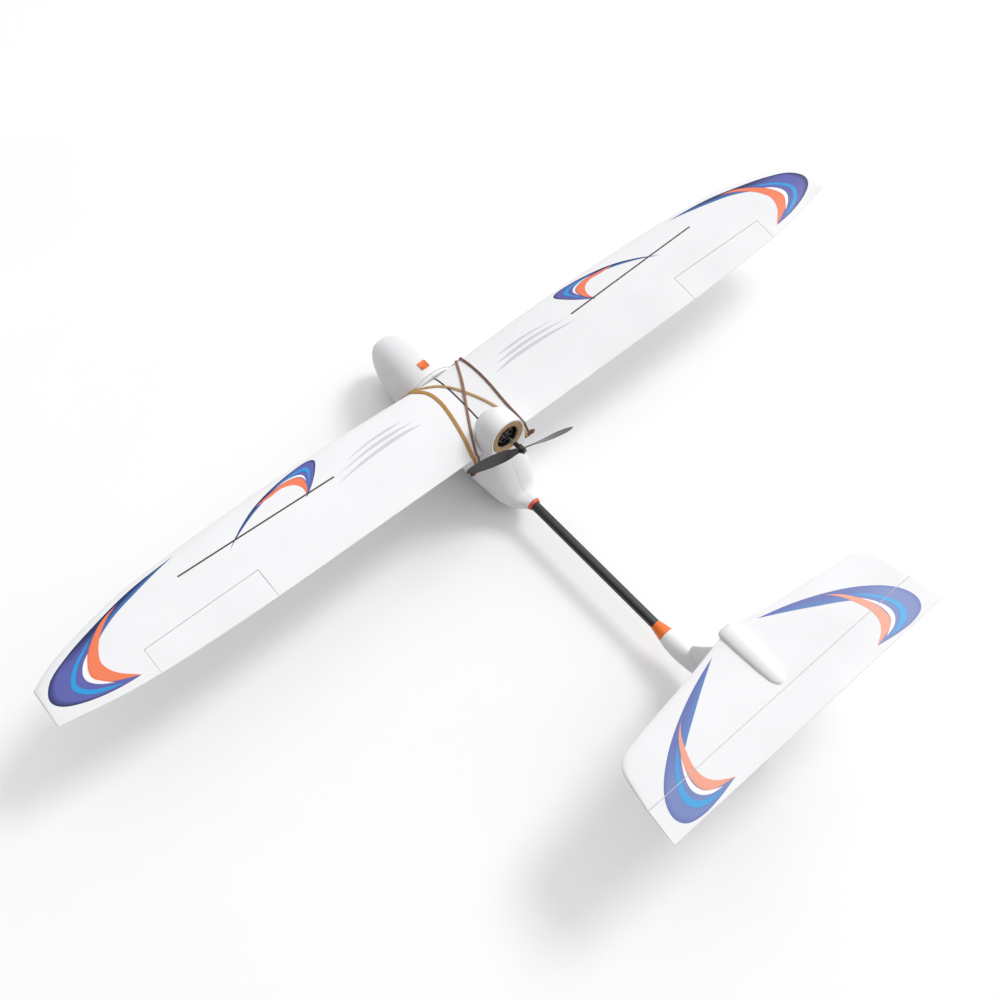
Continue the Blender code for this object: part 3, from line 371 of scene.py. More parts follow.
INKS = {
    "indigo": swoosh_ink("indigo_ink", (0.006, 0.014, 0.105), (0.090, 0.100, 0.375),
                         (0.042, 0.150, 0.43)),
    "cyan": ink("cyan_ink", (0.035, 0.17, 0.52), (0.008, 0.29, 0.67)),
    "white": ink("white_ink", (0.86, 0.86, 0.88), (0.88, 0.88, 0.90)),
    "orange": ink("orange_ink", (0.76, 0.16, 0.065), (0.84, 0.19, 0.078)),
    "pale_indigo": swoosh_ink("pale_indigo_ink", (0.115, 0.155, 0.42), (0.160, 0.215, 0.48),
                              (0.095, 0.205, 0.50)),
    "pale_cyan": ink("pale_cyan_ink", (0.085, 0.28, 0.60), (0.035, 0.34, 0.70)),
    "pale_orange": ink("pale_orange_ink", (0.80, 0.31, 0.21), (0.83, 0.33, 0.23)),
    "grey": ink("grey_ink", (0.50, 0.50, 0.54), (0.60, 0.60, 0.635)),
    "seam": rubber("dark_joint_rubber", (0.035, 0.022, 0.018)),
}


# ---------------------------------------------------------------- mesh helpers
def finish_mesh(obj, mat, smooth=35):
    obj.data.materials.clear()
    obj.data.materials.append(mat)
    obj.data.shade_smooth()
    obj.data.set_sharp_from_angle(angle=math.radians(smooth))
    return obj


def raw(name, verts, faces, merge=1e-7, uvs=None):
    """A closed object from points, with its faces turned outwards; uvs has one pair a point."""
    mesh = bpy.data.meshes.new(name)
    mesh.from_pydata([Vector(v) for v in verts], [], faces)
    if uvs:
        layer = mesh.uv_layers.new(name="film")
        for loop in mesh.loops:
            layer.data[loop.index].uv = uvs[loop.vertex_index]
    bm = bmesh.new()
    bm.from_mesh(mesh)
    bmesh.ops.remove_doubles(bm, verts=bm.verts, dist=merge)
    bmesh.ops.recalc_face_normals(bm, faces=bm.faces)
    if bm.calc_volume(signed=True) < 0:
        bmesh.ops.reverse_faces(bm, faces=bm.faces)
    bm.to_mesh(mesh)
    bm.free()
    obj = bpy.data.objects.new(name, mesh)
    bpy.context.scene.collection.objects.link(obj)
    return obj


def loft(name, rings):
    """A closed solid through rings of points, with flat ends."""
    count = len(rings[0])
    verts = [p for ring in rings for p in ring]
    faces = []
    for r in range(len(rings) - 1):
        for i in range(count):
            j = (i + 1) % count
            faces.append((r * count + i, r * count + j, (r + 1) * count + j, (r + 1) * count + i))
    faces.append(tuple(range(count)))
    faces.append(tuple((len(rings) - 1) * count + i for i in range(count)))
    return raw(name, verts, faces)


def prism(name, outline, direction):
    return loft(name, [outline, [p + direction for p in outline]])


def block(name, low, high):
    """A box from its lowest corner to its highest."""
    plan = ((low[0], low[1]), (high[0], low[1]), (high[0], high[1]), (low[0], high[1]))
    return prism(name, [Vector((x, y, low[2])) for x, y in plan], Vector((0, 0, high[2] - low[2])))


def turned(name, profile, centre, axis, sides=64):
    """A solid turned about an axis from (radius, along) points; off the axis it closes as a ring."""
    turn = Vector((0, 0, 1)).rotation_difference(axis.normalized()).to_matrix()
    rings = [[centre + turn @ Vector((r * math.cos(a), r * math.sin(a), z)) for r, z in profile]
             for a in circle(sides)]
    count = len(profile)
    solid_ring = profile[0][0] > 0
    verts = [p for ring in rings for p in ring]
    faces = []
    for i in range(sides):
        k = (i + 1) % sides
        for j in range(count if solid_ring else count - 1):
            n = (j + 1) % count
            faces.append((i * count + j, k * count + j, k * count + n, i * count + n))
    return raw(name, verts, faces)


def rod(name, start, end, radius, sides=32):
    along = end - start
    return turned(name, [(0, 0), (radius, 0), (radius, along.length), (0, along.length)], start, along, sides)


def rounded_profile(points, radius, steps=4):
    """A closed (radius, along) profile with each corner rounded."""
    out = []
    for i, corner in enumerate(points):
        here = Vector(corner)
        before = (Vector(points[i - 1]) - here)
        after = (Vector(points[(i + 1) % len(points)]) - here)
        r = min(radius, before.length * 0.45, after.length * 0.45)
        start, end = here + before.normalized() * r, here + after.normalized() * r
        for k in range(steps + 1):
            t = k / steps
            out.append(tuple(start.lerp(here, t).lerp(here.lerp(end, t), t)))
    return out


def sweep(name, path, across, half_width, half_thick, sides=16, power=1.0):
    """A strap or wire along a path; a power under 1 squares its section off."""
    rings = []
    for i, p in enumerate(path):
        ahead = (path[min(i + 1, len(path) - 1)] - path[max(i - 1, 0)]).normalized()
        wide = (across - ahead * across.dot(ahead)).normalized()
        thick = ahead.cross(wide)
        rings.append([p + wide * half_width * math.copysign(abs(c) ** power, c)
                      + thick * half_thick * math.copysign(abs(s) ** power, s)
                      for c, s in ((math.cos(a), math.sin(a)) for a in circle(sides))])
    return loft(name, rings)


def combine(target, tool, operation="DIFFERENCE"):
    """Cut a tool out of a target, or join it on, for good."""
    mod = target.modifiers.new("combine", "BOOLEAN")
    mod.operation = operation
    mod.solver = "EXACT"
    mod.object = tool
    bpy.context.view_layer.update()
    evaluated = target.evaluated_get(bpy.context.evaluated_depsgraph_get())
    mesh = bpy.data.meshes.new_from_object(evaluated)
    target.modifiers.clear()
    target.data = mesh
    bpy.data.objects.remove(tool)


def stand_for(obj, node, mat=None, smooth=35):
    """A fine mesh shown in place of a CAD node, on its body and with its material slot."""
    finish_mesh(obj, mat or LOOKS[SLOT_OF[node]], smooth)
    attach(obj, BODY_OF[node])
    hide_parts(node)
    return obj


def extra(obj, body, mat, smooth=35):
    """A surface detail that has no CAD node of its own."""
    finish_mesh(obj, mat, smooth)
    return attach(obj, body)


# ---------------------------------------------------------------- wing
LEADING_EDGE = [(0, -0.076), (0.30, -0.076), (0.56, -0.0625), (0.74, -0.0435), (0.834, -0.0185),
                (0.893, 0.002), (0.94, 0.028)]
TRAILING_EDGE = [(0, 0.123), (0.30, 0.131), (0.58, 0.1365), (0.80, 0.131), (0.94, 0.110)]
TIP_ROUND = 0.0032
HINGE_DROP = 0.0004                 # hinge lines lie this far under the top skin
AILERON_END_GAP = 0.0008
STRIP_IN, STRIP_OUT = 0.301, 0.640


def airfoil(s):
    """(upper, lower) heights of the section as parts of the chord, at s from 0 to 1."""
    half = 5 * 0.092 * (0.2969 * math.sqrt(s) - 0.1260 * s - 0.3516 * s ** 2
                        + 0.2843 * s ** 3 - 0.1015 * s ** 4) + 0.0035 * s
    rise = 0.034
    camber = rise / 0.16 * (0.8 * s - s * s) if s < 0.4 else rise / 0.36 * (0.2 + 0.8 * s - s * s)
    return camber + half, camber - half


def wing_z(x, y, upper=True):
    le, te = spline(LEADING_EDGE, abs(x)), spline(TRAILING_EDGE, abs(x))
    s = min(max((y - le) / (te - le), 0), 1)
    return airfoil(s)[0 if upper else 1] * (te - le) + DIHEDRAL * abs(x)


def wing_ring(x, side, squeeze=1.0, steps=44):
    """Wing section at x; near the tip its thickness and its edges draw in by `squeeze`."""
    le, te = spline(LEADING_EDGE, x), spline(TRAILING_EDGE, x)
    chord = te - le
    draw = (1 - squeeze) * TIP_ROUND
    lift = DIHEDRAL * x
    points = []
    for upper in (True, False):
        for s in (reversed(cosine_steps(steps)) if upper else cosine_steps(steps)[1:]):
            high, low = airfoil(s)
            mean, half = (high + low) / 2, (high - low) / 2 * squeeze
            y = le + draw + (chord - 2 * draw) * s
            points.append(at(side * x, y, chord * (mean + (half if upper else -half)) + lift))
    return points


def aileron_part(x):
    """How far x is along the aileron, from 0 at its inner end to 1 at its outer end."""
    return (x - AILERON_IN) / (AILERON_OUT - AILERON_IN)


def hinge_y(x):
    return AILERON_HINGE_IN_Y + aileron_part(x) * (AILERON_HINGE_OUT_Y - AILERON_HINGE_IN_Y)


def hinge_point(x, side):
    z_in = wing_z(AILERON_IN, hinge_y(AILERON_IN))
    z_out = wing_z(AILERON_OUT, hinge_y(AILERON_OUT))
    return at(side * x, hinge_y(x), z_in + aileron_part(x) * (z_out - z_in) - HINGE_DROP)


POD_FRONT_Y = 0.0725
POD_FULL_Y = 0.122                  # the pod is at its full width from here back
POD_HALF_WIDTH = 0.0405
POD_GAP = 0.0006


def pod_half_width(y):
    if y >= POD_FULL_Y:
        return POD_HALF_WIDTH
    return POD_HALF_WIDTH * quarter((POD_FULL_Y - y) / (POD_FULL_Y - POD_FRONT_Y))


def servo_room(name, label):
    """The pocket round a servo, its arm and its ears, open below the wing."""
    low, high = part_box("aileron_%s_servo" % label)
    arm_low, arm_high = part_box("aileron_%s_servo_arm" % label)
    margin, past_arm, below = 0.0007, 0.0045, 0.03
    x0 = min(low.x, arm_low.x) - (past_arm if low.x < 0 else margin)
    x1 = max(high.x, arm_high.x) + (margin if low.x < 0 else past_arm)
    return block(name, (x0, low.y - margin, low.z - below), (x1, high.y + margin, high.z + margin))


def make_wing(label, side):
    tip = HALF_SPAN - TIP_ROUND
    rings = [wing_ring(x, side) for x in [GAP / 2] + spread(0.0, tip, 84)[1:]]
    for a in (25, 45, 62, 76, 84):
        angle = math.radians(a)
        rings.append(wing_ring(tip + TIP_ROUND * math.sin(angle), side, math.cos(angle)))
    wing = loft("fine_wing_" + label, rings)
    below = -0.05
    steps = [POD_FRONT_Y - POD_GAP + (POD_FULL_Y - POD_FRONT_Y) * t for t in ease(18)]
    curve = [(POD_GAP + pod_half_width(y + POD_GAP), y) for y in steps]
    past_root, notch_rear = -0.005, 0.17
    plan = [(past_root, steps[0])] + curve
    plan += [(POD_HALF_WIDTH + POD_GAP, notch_rear), (past_root, notch_rear)]
    combine(wing, prism("notch", [at(side * x, y, below) for x, y in plan], Vector((0, 0, 0.12))))
    x_in, x_out = AILERON_IN - AILERON_END_GAP, AILERON_OUT + AILERON_END_GAP
    behind = 0.20
    plan = [(x_in, hinge_y(x_in) - 0.0004), (x_out, hinge_y(x_out) - 0.0004), (x_out, behind), (x_in, behind)]
    combine(wing, prism("bay", [at(side * x, y, below) for x, y in plan], Vector((0, 0, 0.2))))
    combine(wing, servo_room("room", label))
    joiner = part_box("wing_joiner")
    radius = (joiner[1].y - joiner[0].y) / 2
    start = Vector((0, mid_point("wing_joiner").y, joiner[0].z + radius))
    reach = joiner[1].x + 0.001
    combine(wing, rod("joiner_bore", start - Vector((side * 0.01, 0, 0.01 * DIHEDRAL)),
                      start + Vector((side * reach, 0, reach * DIHEDRAL)), radius + GAP, 32))
    strip = [at(side * x, 0, wing_z(x, 0) - 0.0004) for x in spread(STRIP_IN, STRIP_OUT, 24)]
    back = Vector((0, 1, 0))
    combine(wing, sweep("groove", strip, back, 0.0018, 0.0012, 12))
    stand_for(wing, "wing_" + label)
    stand_for(sweep("fine_spar_strip_" + label, strip, back, 0.0015, 0.0009, 16, 0.7), "spar_strip_" + label)


def make_aileron(label, side):
    rings = []
    for x in spread(AILERON_IN, AILERON_OUT, 16):
        y0, te = hinge_y(x), spline(TRAILING_EDGE, x)
        front = at(side * x, y0 + 0.0004, 0)
        front.z = hinge_point(x, side).z + HINGE_DROP
        bevel = (wing_z(x, y0) - wing_z(x, y0, False)) * 0.62
        upper = [at(side * x, y, wing_z(x, y)) for y in spread(y0 + 0.004, te, 14)]
        lower = [at(side * x, y, wing_z(x, y, False)) for y in spread(te, y0 + bevel, 14)]
        round_back = at(side * x, te + 0.0004, (wing_z(x, te) + wing_z(x, te, False)) / 2)
        rings.append([front] + upper + [round_back] + lower)
    stand_for(loft("fine_aileron_" + label, rings), "aileron_" + label)


# ---------------------------------------------------------------- decals
def smooth_line(points, count):
    """Evenly counted points along a smooth curve through a few plan points."""
    out = []
    last = len(points) - 1
    pts = [Vector(p) for p in points]
    for i in range(count + 1):
        t = last * i / count
        k = min(int(t), last - 1)
        f = t - k
        p0, p1, p2, p3 = pts[max(k - 1, 0)], pts[k], pts[k + 1], pts[min(k + 2, last)]
        out.append(0.5 * (2 * p1 + (p2 - p0) * f + (2 * p0 - 5 * p1 + 4 * p2 - p3) * f * f
                          + (3 * p1 - p0 - 3 * p2 + p3) * f ** 3))
    return out


def film(name, outer, inner, height, lift, side, count=72, bands=8):
    """A thin film between two plan curves, laid on a skin; V runs from its outer to its inner edge."""
    outer, inner = smooth_line(outer, count), smooth_line(inner, count)
    verts, uvs = [], []
    for level in (lift, -0.00012):
        for i in range(count + 1):
            for j in range(bands + 1):
                p = outer[i].lerp(inner[i], j / bands)
                verts.append(at(side * p.x, p.y, height(p.x, p.y) + level))
                uvs.append((i / count, j / bands))
    row, sheet = bands + 1, (count + 1) * (bands + 1)
    faces = []
    for i in range(count):
        for j in range(bands):
            a = i * row + j
            faces.append((a, a + 1, a + row + 1, a + row))
            faces.append((a + sheet, a + row + sheet, a + row + 1 + sheet, a + 1 + sheet))
        for a, b in ((i * row, (i + 1) * row), ((i + 1) * row + bands, i * row + bands)):
            faces.append((a, b, b + sheet, a + sheet))
    for i in (0, count):
        for j in range(bands):
            a = i * row + j
            faces.append((a, a + 1, a + 1 + sheet, a + sheet))
    return raw(name, verts, faces, 1e-6, uvs)


BASE, OVER = 0.00010, 0.00020       # film heights above the skin: first print, then what lies over it
TIP_SWOOSH = {
    "indigo": (BASE, [(0.623, -0.046), (0.716, -0.034), (0.809, -0.009), (0.866, 0.011), (0.908, 0.033),
                      (0.927, 0.062), (0.917, 0.085), (0.882, 0.102), (0.835, 0.113), (0.787, 0.117)],
               [(0.623, -0.046), (0.668, -0.0345), (0.718, -0.0195), (0.765, -0.004), (0.803, 0.016),
                (0.829, 0.040), (0.838, 0.064), (0.832, 0.086), (0.815, 0.102), (0.787, 0.117)]),
    "cyan": (OVER, [(0.818, 0.007), (0.848, 0.024), (0.873, 0.042), (0.889, 0.068), (0.878, 0.090),
                    (0.850, 0.105), (0.812, 0.1125)],
             [(0.818, 0.007), (0.838, 0.023), (0.861, 0.041), (0.8785, 0.066), (0.867, 0.087), (0.842, 0.101),
              (0.812, 0.1125)]),
    "white": (OVER, [(0.836, 0.030), (0.852, 0.043), (0.862, 0.059), (0.8615, 0.074), (0.849, 0.089),
                     (0.828, 0.102)],
              [(0.836, 0.030), (0.844, 0.043), (0.851, 0.058), (0.8525, 0.073), (0.842, 0.088),
               (0.828, 0.102)]),
    "orange": (OVER, [(0.750, -0.022), (0.789, -0.009), (0.825, 0.019), (0.848, 0.048), (0.8535, 0.069),
                      (0.840, 0.093), (0.785, 0.117)],
               [(0.750, -0.022), (0.779, -0.007), (0.806, 0.018), (0.822, 0.043), (0.8265, 0.064),
                (0.815, 0.090), (0.785, 0.117)]),
}
MID_SWOOSH = {
    "indigo": (BASE, [(0.540, 0.013), (0.501, -0.014), (0.451, -0.040), (0.395, -0.057), (0.345, -0.0655),
                      (0.316, -0.0655), (0.306, -0.056), (0.320, -0.034), (0.340, -0.014), (0.366, 0.006)],
               [(0.540, 0.013), (0.505, -0.007), (0.465, -0.026), (0.425, -0.040), (0.390, -0.048),
                (0.366, -0.046), (0.352, -0.038), (0.352, -0.025), (0.358, -0.008), (0.366, 0.006)]),
    "cyan": (OVER, [(0.400, -0.0525), (0.362, -0.0575), (0.334, -0.0570), (0.325, -0.048), (0.334, -0.031),
                    (0.352, -0.009)],
             [(0.400, -0.0525), (0.362, -0.0535), (0.341, -0.0510), (0.334, -0.044), (0.339, -0.029),
              (0.352, -0.009)]),
    "white": (OVER, [(0.405, -0.0490), (0.378, -0.0525), (0.354, -0.0495), (0.343, -0.040), (0.346, -0.024)],
              [(0.405, -0.0490), (0.379, -0.0505), (0.358, -0.0465), (0.3475, -0.038), (0.346, -0.024)]),
    "orange": (OVER, [(0.452, -0.0375), (0.414, -0.0455), (0.380, -0.0500), (0.357, -0.0450), (0.348, -0.033),
                      (0.352, -0.014), (0.366, 0.004)],
               [(0.452, -0.0375), (0.419, -0.0385), (0.392, -0.0415), (0.371, -0.0340), (0.362, -0.021),
                (0.361, -0.008), (0.366, 0.004)]),
}
TAIL_SWOOSH = {
    "pale_indigo": (BASE, [(0.054, 0.730), (0.112, 0.747), (0.168, 0.769), (0.220, 0.796), (0.261, 0.826),
                           (0.284, 0.853), (0.2915, 0.879), (0.280, 0.898), (0.250, 0.9045), (0.212, 0.902),
                           (0.171, 0.895)],
                    [(0.054, 0.730), (0.109, 0.759), (0.148, 0.781), (0.183, 0.801), (0.207, 0.818),
                     (0.216, 0.838), (0.219, 0.858), (0.214, 0.875), (0.202, 0.886), (0.189, 0.891),
                     (0.171, 0.895)]),
    "pale_cyan": (OVER, [(0.200, 0.796), (0.232, 0.822), (0.254, 0.850), (0.262, 0.874), (0.251, 0.892),
                         (0.226, 0.8985), (0.197, 0.897)],
                  [(0.200, 0.796), (0.227, 0.824), (0.245, 0.851), (0.249, 0.871), (0.241, 0.885),
                   (0.221, 0.893), (0.197, 0.897)]),
    "white": (OVER, [(0.214, 0.816), (0.231, 0.840), (0.239, 0.862), (0.235, 0.878), (0.220, 0.889),
                     (0.195, 0.8935)],
              [(0.214, 0.816), (0.226, 0.841), (0.2305, 0.861), (0.2255, 0.877), (0.213, 0.886),
               (0.195, 0.8935)]),
    "pale_orange": (OVER, [(0.172, 0.774), (0.196, 0.793), (0.217, 0.822), (0.2275, 0.849), (0.2265, 0.873),
                           (0.211, 0.887), (0.170, 0.8955)],
                    [(0.172, 0.774), (0.190, 0.794), (0.204, 0.822), (0.2105, 0.844), (0.2085, 0.865),
                     (0.196, 0.881), (0.170, 0.8955)]),
}
SPEED_LINES = [
    ([(0.305, 0.018), (0.230, 0.004), (0.150, -0.002), (0.094, 0.006)],
     [(0.305, 0.018), (0.230, 0.0095), (0.150, 0.0055), (0.094, 0.006)]),
    ([(0.288, 0.001), (0.215, -0.0115), (0.160, -0.0145), (0.108, -0.010)],
     [(0.288, 0.001), (0.215, -0.0065), (0.160, -0.0080), (0.108, -0.010)]),
    ([(0.265, -0.0145), (0.205, -0.025), (0.160, -0.0275), (0.122, -0.025)],
     [(0.265, -0.0145), (0.205, -0.0215), (0.160, -0.0225), (0.122, -0.025)]),
]


def split_at_hinge(obj, keep_front):
    """Keep the part of a film before or behind the elevator's hinge gap."""
    y = ELEVATOR_HINGE_Y + (-0.0006 if keep_front else 0.0006) + SPAR_Y
    bm = bmesh.new()
    bm.from_mesh(obj.data)
    bmesh.ops.bisect_plane(bm, geom=bm.verts[:] + bm.edges[:] + bm.faces[:], plane_co=(0, y, 0),
                           plane_no=(0, 1, 0), clear_outer=keep_front, clear_inner=not keep_front)
    bmesh.ops.holes_fill(bm, edges=[e for e in bm.edges if e.is_boundary])
    bm.to_mesh(obj.data)
    bm.free()


def make_wing_decals(label, side):
    for place, swoosh in (("tip", TIP_SWOOSH), ("mid", MID_SWOOSH)):
        for colour, (lift, outer, inner) in swoosh.items():
            name = "decal_%s_%s_%s" % (place, colour, label)
            extra(film(name, outer, inner, wing_z, lift, side), "airframe", INKS[colour])
    for i, (outer, inner) in enumerate(SPEED_LINES):
        obj = film("decal_speed_line_%d_%s" % (i, label), outer, inner, wing_z, BASE, side, 48, 3)
        extra(obj, "airframe", INKS["grey"])


def make_tail_decals(label, side):
    for colour, (lift, outer, inner) in TAIL_SWOOSH.items():
        for part, body, front in (("stab", "airframe", True), ("elevator", "elevator_surface", False)):
            name = "decal_%s_%s_%s" % (part, colour, label)
            obj = film(name, outer, inner, tail_top, lift, side)
            split_at_hinge(obj, front)
            extra(obj, body, INKS[colour])


def make_wing_seam():
    """Dark strip that closes the joint between the wing halves."""
    ys = spread(-0.0755, 0.0700, 60)
    path = [at(0, y, wing_z(0, y) + 0.0001) for y in ys]
    obj = sweep("wing_joint_seam", path, Vector((1, 0, 0)), 0.0019, 0.0003, 12, 0.7)
    extra(obj, "airframe", INKS["seam"])


# ---------------------------------------------------------------- fuselage
def body_half_width(y):
    if y < -0.10:
        return 0.062 * quarter((-0.10 - y) / (-0.10 - NOSE_Y))
    return spline([(-0.10, 0.062), (0.0, 0.062), (0.09, 0.0575), (0.13, 0.0535), (0.17, 0.045),
                   (0.205, 0.030), (POD_END_Y, 0.0150)], y)


def body_top(y):
    if y < -0.12:
        return -0.095 + 0.107 * quarter((-0.12 - y) / (-0.12 - NOSE_Y))
    return spline([(-0.12, 0.012), (-0.10, 0.0112), (-0.08, 0.009), (-0.04, 0.010), (0.10, 0.018),
                   (0.135, 0.010), (0.151, -0.003), (0.165, -0.023), (0.18, -0.051), (0.195, -0.079),
                   (0.206, -0.0868), (POD_END_Y, BOOM_Z + 0.0150)], y)


def body_bottom(y):
    if y < -0.19:
        return -0.095 - 0.073 * quarter((-0.19 - y) / (-0.19 - NOSE_Y))
    return spline([(-0.19, -0.168), (0.0, -0.168), (0.135, -0.168), (0.170, -0.158), (0.205, -0.133),
                   (POD_END_Y, BOOM_Z - 0.0150)], y)


def widest_height(y, top, bottom):
    """The body is widest above its middle, so that its sides draw in towards the belly."""
    share = spline([(0.08, 0.61), (0.15, 0.57), (POD_END_Y, 0.5)], y)
    return bottom + (top - bottom) * share


def body_half_ring(y, side, inset, roof, floor, centre, steps=40):
    """One side of the body's section: from the top centre round to the floor or belly, then in."""
    top, bottom = body_top(y) - inset, body_bottom(y) + inset
    middle = widest_height(y, top, bottom)
    width = max(body_half_width(y) - inset, 0.001)
    shoulder = 2 / 2.35
    if floor >= middle:
        last = math.asin(min((floor - middle) / (top - middle), 1) ** (1 / shoulder))
    else:
        last = max(math.asin(max((floor - middle) / (middle - bottom), -1)), -math.pi / 2 + 0.05)
    ring = []
    for i in range(steps + 1):
        a = math.pi / 2 + (last - math.pi / 2) * i / steps
        if a > 0:
            x = width * math.cos(a) ** shoulder if i else 0
            z = middle + (top - middle) * math.sin(a) ** shoulder
        else:
            x = width * math.cos(a) * (1 - 0.12 * math.sin(a) ** 2)
            z = middle + (middle - bottom) * math.sin(a)
        z = min(z, roof(x))
        ring.append(at(side * (centre + x * (width - centre) / width), y, z))
    ring.append(at(side * centre, y, min(max(bottom, floor), roof(0))))
    return ring


def body_ring(y, inset, floor):
    """The body's whole section, with no roof over it."""
    left, right = (body_half_ring(y, side, inset, no_roof, floor, 0) for side in (1, -1))
    return left + right[-2:0:-1]


def flat_roof(z):
    return lambda x: z


def wing_seat(x):
    return SADDLE_Z + DIHEDRAL * x


def no_roof(_):
    return 1.0


def nose_steps(count):
    """Stations from the nose to just ahead of the hatch's rear edge, closest together at the nose."""
    end = HATCH_REAR_Y - 0.0005
    return [NOSE_Y + (end - NOSE_Y) * t for t in ease(count)]


def make_shell(label, side):
    rings = []
    for y in nose_steps(40):
        rings.append(body_half_ring(max(y, NOSE_Y + 0.0003), side, 0, flat_roof(PARTING_Z), BELLY_Z, GAP / 2))
    for y in (HATCH_REAR_Y, COLLAR_REAR_Y):
        rings.append(body_half_ring(y, side, 0, no_roof, BELLY_Z, GAP / 2))
    for y in spread(COLLAR_REAR_Y + 0.0005, 0.1245, 24):
        rings.append(body_half_ring(y, side, 0, wing_seat, BELLY_Z, GAP / 2))
    for y in spread(0.126, POD_END_Y, 36):
        rings.append(body_half_ring(y, side, 0, flat_roof(-0.0015), BELLY_Z, GAP / 2))
    shell = loft("fine_fuselage_" + label, rings)
    bay = []
    for y in spread(-0.258, -0.0905, 20):
        bay.append(body_half_ring(y, side, FOAM_WALL, flat_roof(0.03), BELLY_Z + 0.006, -0.01))
    for y in (-0.0895, -0.04, 0.0, 0.045):
        bay.append(body_half_ring(y, side, FOAM_WALL, flat_roof(-0.014), BELLY_Z + 0.006, -0.01))
    combine(shell, loft("bay", bay))
    for y, z in (FRONT_DOWEL, REAR_DOWEL):
        combine(shell, rod("hole", at(-0.1, y, z), at(0.1, y, z), DOWEL_RADIUS + GAP, 24))
    combine(shell, rod("socket", at(0, BOOM_FRONT_Y - 0.001, BOOM_Z), at(0, POD_END_Y + 0.02, BOOM_Z),
                       BOOM_RADIUS + GAP, 48))
    stand_for(shell, "fuselage_%s_shell" % label)


def make_hatch():
    lip = 0.0012
    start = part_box("canopy_hatch")[0].y - SPAR_Y
    rings = [body_ring(y, -lip, PARTING_Z + 0.0005) for y in nose_steps(48) if y >= start - 1e-6]
    hatch = loft("fine_canopy_hatch", rings)
    stations = [start + 0.027] + spread(-0.215, -0.0905, 16)
    hollow = [body_ring(y, FOAM_WALL, PARTING_Z - 0.01) for y in stations]
    combine(hatch, loft("hollow", hollow))
    stand_for(hatch, "canopy_hatch")
    make_hatch_tab()


def make_hatch_tab():
    """Orange release tab: a rounded square plate with a raised rim and a knob in one corner."""
    y, half = -0.110, 0.0095
    slope = (body_top(y + half) - body_top(y - half)) / (2 * half)
    centre = at(0, y, body_top(y) + 0.0016)
    along = Vector((0, 1, slope)).normalized()
    across = Vector((1, 0, 0))
    up = across.cross(along)

    def square(reach, height, corner=0.0022):
        ring = []
        for cx, cy, start in ((1, 1, 0), (-1, 1, 90), (-1, -1, 180), (1, -1, 270)):
            for k in range(7):
                a = math.radians(start + 15 * k)
                ring.append(centre + up * height
                            + across * (cx * (reach - corner) + corner * math.cos(a))
                            + along * (cy * (reach - corner) + corner * math.sin(a)))
        return ring

    rings = [square(half - draw, height) for draw, height in
             ((0, 0), (0, 0.0012), (0.0004, 0.0016), (0.0016, 0.0016), (0.0020, 0.0013))]
    tab = loft("fine_hatch_tab", rings)
    spot = centre + across * 0.0035 + along * 0.0045
    knob = [(0, 0), (0.0027, 0), (0.0027, 0.0022), (0.0022, 0.0028), (0, 0.0030)]
    combine(tab, turned("knob", knob, spot, up, 32), "UNION")
    stand_for(tab, "hatch_tab")


def make_boom():
    inner = BOOM_RADIUS - 0.0012
    front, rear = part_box("tail_boom")[0].y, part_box("tail_boom")[1].y
    centre = Vector((0, 0, BOOM.z))
    tube = [(BOOM_RADIUS, front), (BOOM_RADIUS, rear), (inner, rear), (inner, front)]
    stand_for(turned("fine_tail_boom", rounded_profile(tube, 0.0003), centre, TURN_AXIS, 96), "tail_boom")
    sleeve = BOOM_RADIUS + GAP
    low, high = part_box("boom_front_ring")
    ring = [(0.0140, low.y), (0.0132, high.y - 0.001), (sleeve, high.y), (sleeve, low.y)]
    stand_for(turned("fine_boom_front_ring", rounded_profile(ring, 0.0012), centre, TURN_AXIS, 96),
              "boom_front_ring", RED_RING)
    low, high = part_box("boom_rear_sleeve")
    cone = [(0.0108, low.y), (0.0165, high.y), (sleeve, high.y), (sleeve, low.y)]
    stand_for(turned("fine_boom_rear_sleeve", rounded_profile(cone, 0.0008), centre, TURN_AXIS, 96),
              "boom_rear_sleeve")
    half = DOWEL_HALF
    profile = [(0, -half), (0.0024, -half), (DOWEL_RADIUS, -half + 0.0006), (DOWEL_RADIUS, half - 0.0006),
               (0.0024, half), (0, half)]
    for name in ("front_dowel", "rear_dowel"):
        stand_for(turned("fine_" + name, profile, mid_point(name), Vector((1, 0, 0)), 32), name)


# ---------------------------------------------------------------- tail
FIN_LE = [(FIN_BOTTOM_Z, 0.735), (-0.128, 0.690), (-0.105, 0.665), (-0.055, 0.660), (-0.02, 0.680),
          (FIN_TOP_Z, 0.746)]
FIN_HALF_THICK = [(FIN_BOTTOM_Z, 0.0042), (-0.10, 0.0075), (0.0, 0.0068), (FIN_TOP_Z, 0.0060)]


def fin_ring(z):
    le, half = spline(FIN_LE, z), spline(FIN_HALF_THICK, z)
    rear = RUDDER_HINGE_Y - 0.0045
    ring = []
    for s in ease(24):
        bulge = quarter(1 - s / 0.28) if s < 0.28 else 1 - 0.30 * ((s - 0.28) / 0.72) ** 1.5
        ring.append((le + s * (rear - le), half * bulge))
    return [at(x, y, z) for y, x in ring] + [at(-x, y, z) for y, x in reversed(ring[1:])]


# y, half width, half depth of the fairing round the boom
FIN_ROOT = [(0.6038, 0.0168, 0.0168), (0.620, 0.0195, 0.0205), (0.640, 0.0205, 0.0235),
            (0.665, 0.0185, 0.0245), (0.695, 0.0140, 0.0225), (0.725, 0.0095, 0.019), (0.750, 0.0065, 0.015)]


